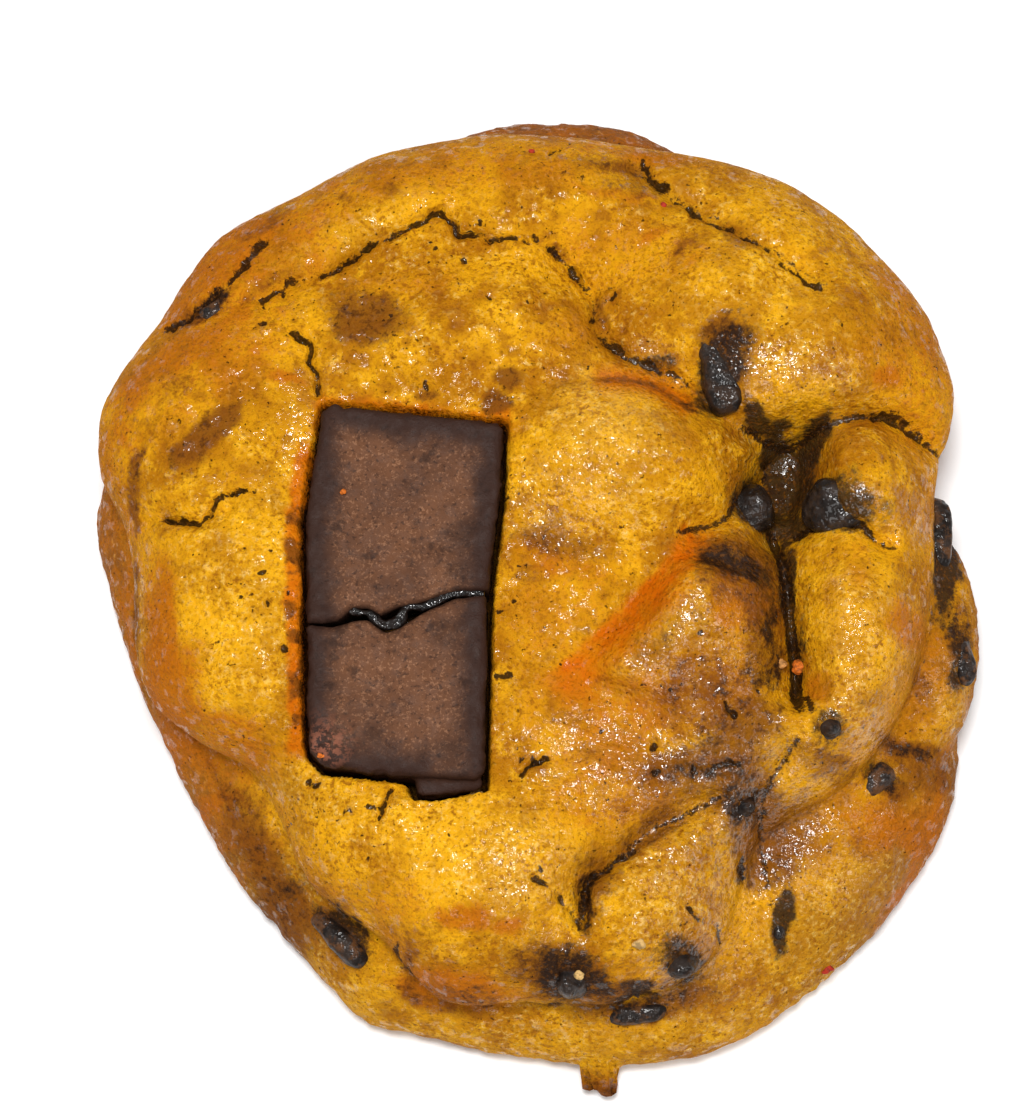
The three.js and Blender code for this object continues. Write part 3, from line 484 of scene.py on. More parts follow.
# The part of the grid that lies round a line
def gridBlock(line, reach):
    ends = np.array([line.min(axis=0) - reach, line.max(axis=0) + reach])
    low, high = np.clip(((ends + gridHalf) / gridStep).astype(int), 0, len(gridLine))
    return slice(low[1], high[1]), slice(low[0], high[0])


def endFade(along, share=0.18):
    return smoothStep(along, 0, share) * (1 - smoothStep(along, 1 - share, 1))


def topHeights():
    form = doughForm
    height = form["upperTop"] - form["rimDrop"] * (np.hypot(gridX, gridY) / form["halfWidth"]) ** 2
    height = height + unevenness(gridX, gridY)
    for at, half, turn, rise in form["swells"].values():
        u, v = turned(gridX - at[0], gridY - at[1], turn)
        u, v = u / half[0], v / half[1]
        height += rise * np.exp(-(u * u + v * v) ** 1.5)
    for depth, left, right, path in form["folds"].values():
        line = smoothPath(path)
        block = gridBlock(line, 14)
        away, side, along = fromPath(line, gridX[block], gridY[block])
        apart = np.hypot(away, form["foldRound"]) - form["foldRound"]
        height[block] -= depth * endFade(along) * np.exp(-apart / np.where(side > 0, left, right))
    for rise, left, right, path in form["ridges"].values():
        line = smoothPath(path)
        block = gridBlock(line, 16)
        away, side, along = fromPath(line, gridX[block], gridY[block])
        height[block] += rise * endFade(along) * np.exp(-(away / np.where(side > 0, left, right)) ** 2)
    return height


crackShape = {
    "narrow": 0.55, "broken": 1.2, "leastLeft": 0.3, "lip": 0.16, "lipAway": 0.9, "lipWidth": 0.55,
    "pitDepth": 1.6,
}


def cutCracks(height, shadeAndChocolate):
    form = crackShape
    for half, depth, path in crustCracks.values():
        line = smoothPath(path, 3)
        block = gridBlock(line, 5)
        away, side, along = fromPath(line, raggedX[block], raggedY[block])
        unbroken = 0.9 + form["broken"] * noise(pointsOnGrid[block], 1.6, 9, 2)
        fade = endFade(along, 0.12) * np.clip(unbroken, form["leastLeft"], 1)
        narrow = half * form["narrow"]
        height[block] -= depth * fade * np.exp(-(away / narrow) ** 2)
        lip = form["lip"] * fade * np.exp(-((away - form["lipAway"]) / form["lipWidth"]) ** 2)
        height[block] += lip * (1 + 0.8 * noise(pointsOnGrid[block], 0.9, 14))
        # the bottom of the crack is painted dark: painted shade
        shadeAndChocolate[block] = np.maximum(shadeAndChocolate[block], fade * np.exp(-(away / (narrow * 1.3)) ** 2))
    for x, y, radius in crustPits:
        block = gridBlock(np.array([[x, y]]), 3 * radius + 0.4)
        away = np.hypot(raggedX[block] - x, raggedY[block] - y)
        height[block] -= form["pitDepth"] * radius * np.exp(-(away / radius) ** 2)
        # the inside of the pit is painted dark: painted shade
        shadeAndChocolate[block] = np.maximum(shadeAndChocolate[block], np.exp(-(away / (radius * 1.05)) ** 2))


def layBar(height, shadeAndChocolate):
    form = barForm
    away = insidePolygon(form["outline"], gridX, gridY)
    away = away + 0.16 * noise(pointsOnGrid, 2.2, 12, 2)
    floor = form["topAt"] - form["thick"] + gridY * math.sin(math.radians(form["tilt"])) - form["underGap"]
    wall = 1 - smoothStep(away, form["bedGap"] - form["wallRound"] * 0.6, form["bedGap"] + 0.25)
    rounding = np.exp(-np.maximum(away - form["bedGap"], 0) / 0.5) * (away < 6)
    lowered = height - form["rimSunk"] * rounding
    height[:] = lowered + (floor - lowered) * wall
    # the wall of the bed round the bar is painted dark: painted shade in the gap
    shadeAndChocolate[:] = np.maximum(shadeAndChocolate, wall)
    return away


topHeight = topHeights()
crackShadeMap = np.zeros(topHeight.shape)
cutCracks(topHeight, crackShadeMap)
barAway = layBar(topHeight, crackShadeMap)
print("top worked out")


def fromGrid(field, x, y):
    u = np.clip((x + gridHalf) / gridStep, 0, len(gridLine) - 1.001)
    v = np.clip((y + gridHalf) / gridStep, 0, len(gridLine) - 1.001)
    i, j = v.astype(int), u.astype(int)
    s, t = v - i, u - j
    return (field[i, j] * (1 - s) * (1 - t) + field[i, j + 1] * (1 - s) * t
            + field[i + 1, j] * s * (1 - t) + field[i + 1, j + 1] * s * t)


def lumpDistance(points, at, half, turn):
    x, y, z = (points - np.array(at)).T
    unit = np.stack([*turned(x, y, turn), z], axis=1) / np.array(half)
    steep = unit / np.array(half)
    length = np.linalg.norm(unit, axis=1)
    return length * (length - 1) / np.maximum(np.linalg.norm(steep, axis=1), 1e-6)


def doughDistance(points):
    form = doughForm
    x, y, z = points.T
    radius, angle = np.hypot(x, y), np.arctan2(y, x)
    pastLower = radius - outlineRadius(lowerTable, angle)
    pastUpper = radius - outlineRadius(upperTable, angle)
    lowerTop = form["lowerTop"] + unevenness(y, x)
    lowerTop += form["inwardRise"] * smoothStep(-pastLower, 0, form["riseOver"])
    lowerSlab = smoothMax(pastLower, z - lowerTop, form["edgeRound"])
    upperCap = smoothMax(pastUpper, z - fromGrid(topHeight, x, y), form["shoulder"])
    upper = smoothMax(upperCap, form["underside"] - z, form["underRound"])
    dough = smoothMin(lowerSlab, upper, form["layerSeam"])
    for at, half, turn in form["sideLumps"].values():
        dough = smoothMin(dough, lumpDistance(points, at, half, turn), form["layerSeam"])
    return smoothMax(dough, -z, form["footRound"])


# A walk from outside towards a point inside, until it meets the dough's skin
skinSearch = {"steps": 400, "share": 0.5, "least": 0.06, "halvings": 14}


def firstDough(outside, inside):
    way = inside - outside
    length = np.linalg.norm(way, axis=1)
    share = np.zeros(len(way))
    moving = np.ones(len(way), bool)
    for _ in range(skinSearch["steps"]):
        if not moving.any():
            break
        at = outside[moving] + way[moving] * share[moving, None]
        distance = doughDistance(at)
        stride = np.maximum(distance * skinSearch["share"], skinSearch["least"])
        step = np.where(distance > 0, stride / length[moving], 0)
        share[moving] += step
        moving[moving] = (distance > 0) & (share[moving] < 1)
    low, high = np.maximum(share - 2 / length, 0), share.copy()
    for _ in range(skinSearch["halvings"]):
        middle = (low + high) / 2
        outsideStill = doughDistance(outside + way * middle[:, None]) > 0
        low = np.where(outsideStill, middle, low)
        high = np.where(outsideStill, high, middle)
    return outside + way * high[:, None]


# The pattern is a hexagon of rings, in degrees and mm. Blender cuts an edge into 101 at most, so it is cut twice.
# The first corner is where the sectors are counted from
doughMesh = {"cuts": (13, 9), "rows": 48, "firstCorner": 30, "coreInset": 6, "coreHeight": 8.5, "above": 45}


def flatPattern():
    rows = doughMesh["rows"]
    deselectAll()
    bpy.ops.mesh.primitive_circle_add(vertices=6, radius=1, fill_type="TRIFAN")
    disc = bpy.context.object
    editAll()
    for cuts in doughMesh["cuts"]:
        bpy.ops.mesh.subdivide(number_cuts=cuts)
    endEdit()
    deselectAll()
    bpy.ops.mesh.primitive_circle_add(vertices=6, radius=1, fill_type="NOTHING")
    band = bpy.context.object
    editAll()
    for cuts in doughMesh["cuts"]:
        bpy.ops.mesh.subdivide(number_cuts=cuts)
    for row in range(rows):
        grow = (rows + row + 1) / (rows + row)
        bpy.ops.mesh.extrude_region_move()
        bpy.ops.transform.resize(value=(grow, grow, 1))
    bpy.ops.mesh.extrude_region_move()
    bpy.ops.mesh.merge(type="CENTER")
    endEdit()
    centre = len(band.data.vertices) - 1
    band.data.vertices[centre].co = (0, 0, -5)
    deselectAll()
    band.select_set(True)
    disc.select_set(True)
    bpy.context.view_layer.objects.active = disc
    bpy.ops.object.join()
    editAll()
    bpy.ops.mesh.remove_doubles(threshold=1e-4)
    endEdit()
    return disc


# The disc is laid on the dough's core from above, and the band round it on the side, down to the foot
def shapeDough(piece):
    pattern = readPoints(piece)
    x, y = pattern[:, 0], pattern[:, 1]
    underneath = pattern[:, 2] < -1
    turn = (np.degrees(np.arctan2(y, x)) - doughMesh["firstCorner"]) % 360
    sector = np.floor(turn / 60 - 1e-7).astype(int) % 6
    a = np.radians(doughMesh["firstCorner"] + sector * 60.0)
    b = a + np.radians(60)
    determinant = np.cos(a) * np.sin(b) - np.sin(a) * np.cos(b)
    shareA = (x * np.sin(b) - y * np.cos(b)) / determinant
    shareB = (y * np.cos(a) - x * np.sin(a)) / determinant
    reach = shareA + shareB
    angle = a + np.radians(60) * np.clip(shareB / np.maximum(reach, 1e-9), 0, 1)
    reach = np.where(underneath, 0, reach)

    shared = np.minimum(outlineRadius(lowerTable, angle), outlineRadius(upperTable, angle))
    core = shared - doughMesh["coreInset"]
    around = np.stack([np.cos(angle), np.sin(angle)], axis=1)
    onTop = (reach <= 1 + 1e-5) & ~underneath
    points = np.zeros_like(pattern)
    coreZ = doughMesh["coreHeight"]

    top = around[onTop] * (core[onTop] * np.minimum(reach[onTop], 1))[:, None]
    high = np.column_stack([top, np.full(len(top), doughMesh["above"])])
    points[onTop] = firstDough(high, np.column_stack([top, np.full(len(top), coreZ)]))

    side = ~onTop & ~underneath
    row = reach[side] - 1
    inner = np.column_stack([around[side] * core[side][:, None], np.full(side.sum(), coreZ)])
    foot = outlineRadius(lowerTable, angle[side]) - 0.8 * doughForm["footRound"] - core[side]
    lowest = -np.arctan2(coreZ, foot)
    slope = np.pi / 2 + (lowest - np.pi / 2) * row
    outward = np.column_stack([around[side] * np.cos(slope)[:, None], np.sin(slope)])
    found = firstDough(inner + outward * 40, inner)
    found[:, 2] = np.where(row > 0.999, 0, found[:, 2])
    points[side] = found
    writePoints(piece, points * mm)


# The crumb of dough that hangs out at the lower edge
hangingForm = {"at": (7.2, -56.6), "reach": 3, "rootFrom": 53.8, "rootTo": 55.2}


def hangingCrumb(points):
    form = hangingForm
    x, y, z = points.T
    near = np.exp(-((x - form["at"][0]) ** 2 + (y - form["at"][1]) ** 2) / form["reach"] ** 2)
    return near * smoothStep(-y, form["rootFrom"], form["rootTo"]) * (1 - smoothStep(z, 4, 5))


# How high the crust's fine relief stands
crustRelief = {
    "dimples": 0.1, "grain": 0.1, "crumbs": 0.34, "lowerPebbles": 0.16, "lowerGrain": 0.1, "barEdge": 0.22,
}


def roughenDough(piece):
    points, normals = readPoints(piece) / mm, readNormals(piece)
    x, y, z = points.T
    crumbly = patchStrength(crustColouring["crumbly"], x, y, 0.6)
    lowerLayer = 1 - smoothStep(z, 9, 13)
    away = np.abs(fromGrid(barAway, x, y) - barForm["bedGap"] - 0.4)
    pebbles = noise(points, 2.4, 21, 2)
    grain = noise(points, 1.1, 31, 2)
    dimples = noise(points, 4.5, 41)
    form = crustRelief
    lift = form["dimples"] * dimples + form["grain"] * grain
    lift += crumbly * (form["crumbs"] * np.abs(pebbles) * 1.6 - 0.14 + 0.12 * grain)
    lift += lowerLayer * (form["lowerPebbles"] * pebbles + form["lowerGrain"] * grain)
    lift += form["barEdge"] * grain * np.exp(-away / 1.2)
    lift += hangingCrumb(points) * (1.1 * noise(points, 1.9, 25) + 0.7 * noise(points, 0.9, 27, 2))
    lift *= smoothStep(z, 0.15, 2.0)
    points += normals * lift[:, None]
    points[:, 2] = np.maximum(points[:, 2], 0)
    writePoints(piece, points * mm)
    return points


# Places baked orange or brown along a line, as read from the real one
bakedOrange = {
    "ridgeFoot": [(17.3, 5.4), (16.6, 3.4), (15.3, 0.5), (11.7, -3.9), (7.3, -8.1), (3, -11.7), (-0.6, -14.4)],
    "domeArc": [(5.4, 20.6), (7.2, 20.9), (10.2, 21.1), (13.4, 20.4), (15.4, 19.1), (17.2, 17.5), (18, 16.4)],
}
# How dark chocolate and shadow make the bottom of a fold, and how wide
darkFolds = {
    "domeLip": (0.72, 0.45), "columnWest": (1.0, 0.75), "knobSeam": (0.5, 0.45), "columnTop": (0.5, 0.45),
    "centreEast": (0.6, 0.5), "footSeam": (0.55, 0.5), "upperRightFold": (0.35, 0.4),
    "crownValley": (0.3, 0.4),
}


# How strong the browning is that follows the dough's shape, and how far it reaches
browning = {
    "rim": 0.48, "rimReach": 4.5, "lowerLayer": 0.45, "seamBand": 0.6, "ridgeUp": 3.6, "ridgeDown": 0.9,
    "domeLine": 0.85, "domeLineWidth": 0.55, "underDome": 0.9, "underDomeWidth": 1.7, "barLeft": 0.85,
    "barNorth": 0.7, "barLeftStain": 0.85, "hangingToast": 1.6, "hangingStain": 1.3, "hangingMost": 0.9,
}


def colourDough(piece, points):
    brown = browning
    x, y, z = points.T
    raggedness = noise(points, 3.2, 51, 3)
    rx, ry = x + 1.3 * raggedness, y + 1.3 * noise(points, 3.2, 57, 3)
    zones = {name: patchStrength(patches, rx, ry, 0.55) for name, patches in crustColouring.items()}
    radius, angle = np.hypot(x, y), np.arctan2(y, x)
    rim = np.maximum(outlineRadius(upperTable, angle) - radius, 0)
    rimToast = brown["rim"] * np.exp(-rim / brown["rimReach"]) * smoothStep(z, 10, 15)
    lowerLayer = 1 - smoothStep(z, 9, 13)
    toast = 1 - (1 - zones["toast"]) * (1 - rimToast) * (1 - brown["lowerLayer"] * lowerLayer * (y > -30))
    # the band outside the seam of the upper left rim is browner
    away, side, along = fromPath(smoothPath(crustCracks["rimSeam"][2]), x, y)
    rimBand = smoothStep(side * away, -0.3, 0.8) * (1 - smoothStep(away, 6, 9)) * endFade(along, 0.1)
    toast = 1 - (1 - toast) * (1 - brown["seamBand"] * rimBand)
    # the steep side of the glazed ridge is baked orange, sharp at its foot and fading up to the crest
    ridgeFoot = smoothPath(bakedOrange["ridgeFoot"])
    away, side, along = fromPath(ridgeFoot, rx * 0.45 + x * 0.55, ry * 0.45 + y * 0.55)
    reach = np.where(side > 0, brown["ridgeUp"], brown["ridgeDown"])
    ridge = endFade(along, 0.2) * np.exp(-(away / reach) ** 3)
    ridge *= 0.85 + 0.5 * noise(points, 1.3, 66, 2)
    # a thin brown line runs round the top of the small dome
    away, side, along = fromPath(smoothPath(bakedOrange["domeArc"]), rx * 0.15 + x * 0.85, y)
    arc = endFade(along, 0.15) * np.exp(-(away / brown["domeLineWidth"]) ** 2)
    below = endFade(along, 0.25) * np.exp(-(away / brown["underDomeWidth"]) ** 2)
    orange = np.maximum(ridge, brown["underDome"] * below)
    zones["stain"] = np.maximum(zones["stain"], brown["domeLine"] * arc)
    barWall = fromGrid(barAway, x, y)
    besideBar = np.maximum(barWall - 0.6 + 0.7 * raggedness + 0.5 * noise(points, 1.4, 73), 0)
    leftWall = smoothStep(-x, 22, 24.5) * (1 - smoothStep(besideBar, 1.2, 2)) * smoothStep(-y, -15, -12)
    leftWall *= 1 - smoothStep(-y, 20.5, 22.5)
    northWall = smoothStep(y, 13, 16) * np.exp(-besideBar / 0.5) * (barWall < 4)
    orange = np.maximum(orange, np.maximum(brown["barLeft"] * leftWall, brown["barNorth"] * northWall))
    leftStain = brown["barLeftStain"] * leftWall * smoothStep(noise(points, 1.5, 63, 2), -0.2, 0.2)
    zones["stain"] = np.maximum(zones["stain"], leftStain)
    # painted shade in the cracks, the pits and the gap round the bar, and along the folds dark chocolate with
    # painted shade, fading out below the upper layer
    shadeAndChocolate = fromGrid(crackShadeMap, x, y)
    for name, (strength, width) in darkFolds.items():
        away, side, along = fromPath(smoothPath(doughForm["folds"][name][3]), rx * 0.2 + x * 0.8, y)
        shadeAndChocolate = np.maximum(shadeAndChocolate, strength * endFade(along, 0.12) * np.exp(-(away / width) ** 2))
    shadeAndChocolate = shadeAndChocolate * smoothStep(z, 11, 14)
    hanging = hangingCrumb(points)
    toast = np.maximum(toast, np.minimum(brown["hangingToast"] * hanging, 1))
    hangingStain = np.minimum(brown["hangingStain"] * hanging, brown["hangingMost"])
    zones["stain"] = np.maximum(zones["stain"], hangingStain)
    paint(piece, "bake", np.clip(toast, 0, 1), zones["stain"], zones["cocoa"])
    # the skin carries the greasy places, the bright places with their painted highlight, and the painted shade
    # with the chocolate of the folds
    paint(piece, "skin", zones["gloss"], zones["brightAndHighlight"], np.clip(shadeAndChocolate, 0, 1))
    skirt = lowerLayer * (1 + 0.5 * smoothStep(y, 38, 46) - 0.8 * smoothStep(-y, 38, 46))
    paint(piece, "place", np.clip(orange, 0, 1), zones["crumbly"], skirt)


dough = flatPattern()
dough.name = dough.data.name = "baked_dough"
shapeDough(dough)
makeActive(dough)
editAll()
bpy.ops.mesh.normals_make_consistent(inside=False)
endEdit()
bpy.ops.object.shade_smooth()
doughPoints = roughenDough(dough)
colourDough(dough, doughPoints)
print("dough shaped", len(dough.data.vertices), "points")


def copyOfNode(name, newName):
    deselectAll()
    piece = bpy.data.objects[name].copy()
    piece.data = piece.data.copy()
    piece.name = piece.data.name = newName
    piece.parent = None
    scene.collection.objects.link(piece)
    piece.hide_render = False
    piece.hide_viewport = False
    piece.hide_set(False)
    piece.data.materials.clear()
    makeActive(piece)
    editAll()
    bpy.ops.mesh.remove_doubles(threshold=1e-6)
    bpy.ops.mesh.normals_make_consistent(inside=False)
    endEdit()
    return piece


def remeshed(piece, voxel, smoothing):
    makeActive(piece)
    remesh = piece.modifiers.new("even", "REMESH")
    remesh.mode = "VOXEL"
    remesh.voxel_size = voxel * mm
    bpy.ops.object.modifier_apply(modifier="even")
    smooth = piece.modifiers.new("soften", "SMOOTH")
    smooth.factor = 0.5
    smooth.iterations = smoothing
    bpy.ops.object.modifier_apply(modifier="soften")
    bpy.ops.object.shade_smooth()


barFinish = {
    "voxel": 0.28, "softening": 2, "wear": 0.13, "dents": 0.2, "sunk": 0.16, "crumbled": 0.3, "pits": 14,
    "pitSize": (0.14, 0.26), "borderWidth": 3.2,
    # where crumbs of dough and chocolate baked onto the lower left corner
    "crustedCorner": (-23.4, -20.8), "crustedReach": 2.5, "crustedHeight": 0.5,
    # darker round marks in the chocolate: x, y, radius
    "blots": [(-18.1, -19.6, 1.3), (-9.8, -21.6, 1.5), (-10.2, -8.2, 2), (-8.6, 3.2, 1.6), (-9.4, -1, 1.2)],
}


def makeBarSquare(node, seed):
    piece = copyOfNode(node, node.replace("bar_", "chocolate_bar_"))
    remeshed(piece, barFinish["voxel"], barFinish["softening"])
    points, normals = readPoints(piece) / mm, readNormals(piece)
    x, y, z = points.T
    away = insidePolygon(barForm["outline"], x, y)
    upward = np.clip(normals[:, 2], 0, 1)
    lift = barFinish["wear"] * noise(points, 1.3, seed, 3) + barFinish["dents"] * noise(points, 4.5, seed + 3)
    # the cast top sinks a little inside its border
    lift -= barFinish["sunk"] * upward * smoothStep(-away, 1.4, 3.6)
    # the edge crumbled where it softened
    lift += barFinish["crumbled"] * noise(points, 0.9, seed + 7, 2) * np.exp(np.minimum(away, 0) / 0.9)
    cx, cy = barFinish["crustedCorner"]
    crusted = np.exp(-((x - cx) ** 2 + (y - cy) ** 2) / barFinish["crustedReach"] ** 2) * upward
    lift += crusted * barFinish["crustedHeight"] * np.abs(noise(points, 1.4, seed + 8, 2)) * 1.8
    random = np.random.RandomState(seed)
    low, high = points.min(axis=0), points.max(axis=0)
    pitShadeAndBlots = np.zeros(len(points))
    for _ in range(barFinish["pits"]):
        px, py = random.uniform(low[0] + 1, high[0] - 1), random.uniform(low[1] + 1, high[1] - 1)
        size = random.uniform(*barFinish["pitSize"])
        hole = np.exp(-((x - px) ** 2 + (y - py) ** 2) / size ** 2) * (upward > 0.5)
        # the pit is a dent, and is painted dark inside: painted shade
        lift -= hole * size * 0.7
        pitShadeAndBlots = np.maximum(pitShadeAndBlots, hole)
    points += normals * lift[:, None]
    writePoints(piece, points * mm)
    inner = smoothStep(-away + 1.6 * noise(points, 4, seed + 5, 3), barFinish["borderWidth"] * 0.4,
                       barFinish["borderWidth"] * 1.5)
    soft = points + 0.5 * noise(points, 1.5, seed + 2, 2)[:, None]
    for bx, by, radius in barFinish["blots"]:
        blot = 1 - smoothStep(np.hypot(soft[:, 0] - bx, soft[:, 1] - by), radius * 0.6, radius * 1.2)
        pitShadeAndBlots = np.maximum(pitShadeAndBlots, 0.5 * blot)
    paint(piece, "cast", inner * upward, pitShadeAndBlots, crusted)
    return piece


upperSquare = makeBarSquare("bar_upper_square", 61)
lowerSquare = makeBarSquare("bar_lower_square", 71)

chipFinish = {"voxel": 0.2, "softening": 2, "dents": 0.36, "dentWidth": 2.6, "wrinkles": 0.1}
chipNodes = [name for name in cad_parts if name.startswith(("chip_", "chunk_"))]


def makeChip(node, seed):
    piece = copyOfNode(node, "melted_" + node)
    remeshed(piece, chipFinish["voxel"], chipFinish["softening"])
    points, normals = readPoints(piece) / mm, readNormals(piece)
    lift = chipFinish["dents"] * noise(points, chipFinish["dentWidth"], seed)
    lift += chipFinish["wrinkles"] * noise(points, 0.8, seed + 9, 2)
    points += normals * lift[:, None]
    writePoints(piece, points * mm)
    return piece


chips = {node: makeChip(node, 80 + 3 * i) for i, node in enumerate(chipNodes)}

# Chocolate that melted into the crack between the two squares: x, y, radius
crackMelt = [
    (-21, -4.9, 0.25), (-20.3, -5.6, 0.42), (-18.8, -5.9, 0.36), (-17.3, -7.1, 0.5), (-15.8, -7.1, 0.52),
    (-14.8, -5.8, 0.5), (-14.2, -5.2, 0.4), (-12.4, -4.9, 0.48), (-9.9, -3.9, 0.34), (-8.2, -3.5, 0.4),
    (-6.4, -3.6, 0.28),
]
meltBelow, meltVoxel, meltUneven, meltFlat = 0.95, 0.14, 0.45, 0.8


def makeCrackMelt():
    line = smoothPath([(x, y) for x, y, radius in crackMelt], 4)
    radii = np.interp(np.linspace(0, 1, len(line)), np.linspace(0, 1, len(crackMelt)),
                      [radius for x, y, radius in crackMelt])
    deselectAll()
    for i, (x, y) in enumerate(line):
        place = (x * mm, y * mm, (barTopAt(y) - meltBelow) * mm)
        bpy.ops.mesh.primitive_ico_sphere_add(subdivisions=2, radius=(radii[i] + 0.12) * mm, location=place)
        bpy.context.object.select_set(True)
        if i == 0:
            first = bpy.context.object
        else:
            first.select_set(True)
            bpy.context.view_layer.objects.active = first
            bpy.ops.object.join()
    bpy.ops.object.transform_apply(location=True, rotation=True, scale=True)
    first.name = first.data.name = "melt_in_bar_crack"
    remeshed(first, meltVoxel, 3)
    points, normals = readPoints(first) / mm, readNormals(first)
    points += normals * (meltUneven * noise(points, 1.1, 95, 2))[:, None]
    middle = barTopAt(points[:, 1]) - meltBelow
    points[:, 2] = middle + (points[:, 2] - middle) * meltFlat
    writePoints(first, points * mm)
    return first


crackBead = makeCrackMelt()

# Crumbs that lie on the crust: x, y, radius, stretch, look
looseCrumbs = [
    (29.3, -11.1, 0.85, 1.1, "orange"), (27.2, -11.1, 0.5, 1.1, "tan"), (4.6, -45.6, 0.5, 1.1, "pale"),
    (11.1, -42.5, 0.55, 1.2, "pale"), (-6.9, -25.8, 0.6, 1.4, "pale"), (-21.7, 7.7, 0.3, 1.2, "orange"),
    (-23.9, -22, 0.3, 1.3, "orange"), (-0.6, 48.7, 0.3, 1.2, "red"), (14.4, 42.4, 0.32, 1.1, "red"),
    (33, -43.3, 0.5, 1.3, "red"),
]
crumbForm = {"flat": 0.75, "rough": 0.55, "raised": 0.35}
crumbColours = {"orange": "#D9701C", "tan": "#C98A48", "pale": "#CFA766", "red": "#A82A10"}


def makeCrumb(index, x, y, radius, stretch):
    ground = float(fromGrid(topHeight, np.array([x]), np.array([y]))[0])
    inBar = float(insidePolygon(barForm["outline"], np.array([x]), np.array([y]))[0]) < 0
    top = barTopAt(y) if inBar else ground
    deselectAll()
    bpy.ops.mesh.primitive_ico_sphere_add(subdivisions=4, radius=radius * mm)
    piece = bpy.context.object
    editAll()
    bpy.ops.transform.resize(value=(stretch, 1, crumbForm["flat"]))
    endEdit()
    points = readPoints(piece) / mm
    points *= (1 + crumbForm["rough"] * noise(points / radius, 0.9, 100 + index, 2))[:, None]
    points += np.array([x, y, 0])
    # a crumb rests on the dough that is really there, also where the rim falls away
    over = firstDough(np.array([[x, y, doughMesh["above"]]]), np.array([[x, y, 0]]))[0][2]
    points[:, 2] += (top if inBar else min(top, over)) + radius * crumbForm["raised"]
    writePoints(piece, points * mm)
    bpy.ops.object.shade_smooth()
    return piece


crumbs = []
for i, (x, y, radius, stretch, look) in enumerate(looseCrumbs):
    piece = makeCrumb(i, x, y, radius, stretch)
    piece.name = piece.data.name = "crumb_%d" % (i + 1)
    crumbs.append((piece, look))
print("chocolate shaped")


def newMaterial(name):
    material = bpy.data.materials.new(name)
    material.use_nodes = True
    material.node_tree.nodes.clear()
    return material


def addNode(material, kind, settings=None, links=None):
    node = material.node_tree.nodes.new(kind)
    for key, value in (settings or {}).items():
        if hasattr(node, key):
            setattr(node, key, value)
        else:
            node.inputs[key].default_value = value
    for key, source in (links or {}).items():
        material.node_tree.links.new(source, node.inputs[key])
    return node


def feed(material, socket, value):
    if isinstance(value, bpy.types.NodeSocket):
        material.node_tree.links.new(value, socket)
    else:
        socket.default_value = value


def mixColours(material, share, first, second):
    node = addNode(material, "ShaderNodeMix", {"data_type": "RGBA"})
    for socket, value in ((0, share), (6, first), (7, second)):
        feed(material, node.inputs[socket], value)
    return node.outputs[2]


def calculate(material, operation, first, second, clamp=False):
    node = addNode(material, "ShaderNodeMath", {"operation": operation, "use_clamp": clamp})
    feed(material, node.inputs[0], first)
    feed(material, node.inputs[1], second)
    return node.outputs[0]


def ranged(material, value, fromLow, fromHigh, toLow=0.0, toHigh=1.0):
    settings = {"interpolation_type": "SMOOTHSTEP", "From Min": fromLow, "From Max": fromHigh,
                "To Min": toLow, "To Max": toHigh}
    return addNode(material, "ShaderNodeMapRange", settings, {"Value": value}).outputs["Result"]


def bumpFrom(material, strength, distance, height):
    settings = {"Strength": strength, "Distance": distance * mm}
    return addNode(material, "ShaderNodeBump", settings, {"Height": height}).outputs["Normal"]


def finishMaterial(material, settings, links=None):
    shader = addNode(material, "ShaderNodeBsdfPrincipled", settings, links)
    addNode(material, "ShaderNodeOutputMaterial", links={"Surface": shader.outputs["BSDF"]})
    return material


def perMetre(millimetres):
    return 1 / (millimetres * mm)


# Wheat dough with butter, baked until the raised places browned. The browning and the butter that came out
# give the eye its yellow, orange and dark brown. The dull crust shines only where it is greasy
# Painted shade darkens the cracks, pits and folds, and painted highlight lightens the small dome and the ridge
# crest
doughLook = {
    "deep": "#AA6C06", "yellow": "#D8980C", "brightAndHighlight": "#F0B21C", "vivid": "#DFA000", "pale": "#F0C768",
    "toast": "#AF5E07", "orange": "#C65E00", "stain": "#733E0C", "burnt": "#47240A", "cocoa": "#231610",
    "shadeAndChocolate": "#241306", "lower": "#7E4A1A", "grain": "#86490B", "pore": "#33190A", "speck": "#7A4608",
    "driftWidth": 8, "mottleWidth": 2.6, "strokeWidth": 0.7, "poreWidth": 0.5, "speckWidth": 0.42,
}


def channelsOf(material, name):
    attribute = addNode(material, "ShaderNodeAttribute", {"attribute_name": name})
    return addNode(material, "ShaderNodeSeparateColor", links={"Color": attribute.outputs["Color"]}).outputs


# A new material and the tools to mix it: clouds of a size in mm, a named colour laid over another, sums
def startMaterial(name, look):
    m = newMaterial(name)
    where = addNode(m, "ShaderNodeTexCoord").outputs["Object"]

    def cloud(size, detail=3.0, rough=0.55):
        settings = {"Scale": perMetre(size), "Detail": detail, "Roughness": rough}
        return addNode(m, "ShaderNodeTexNoise", settings, {"Vector": where}).outputs["Fac"]

    def times(first, second):
        return calculate(m, "MULTIPLY", first, second)

    def plus(first, second):
        return calculate(m, "ADD", first, second)

    def over(colour, share, shade):
        return mixColours(m, share, colour, linear(look[shade]))

    return m, cloud, over, times, plus


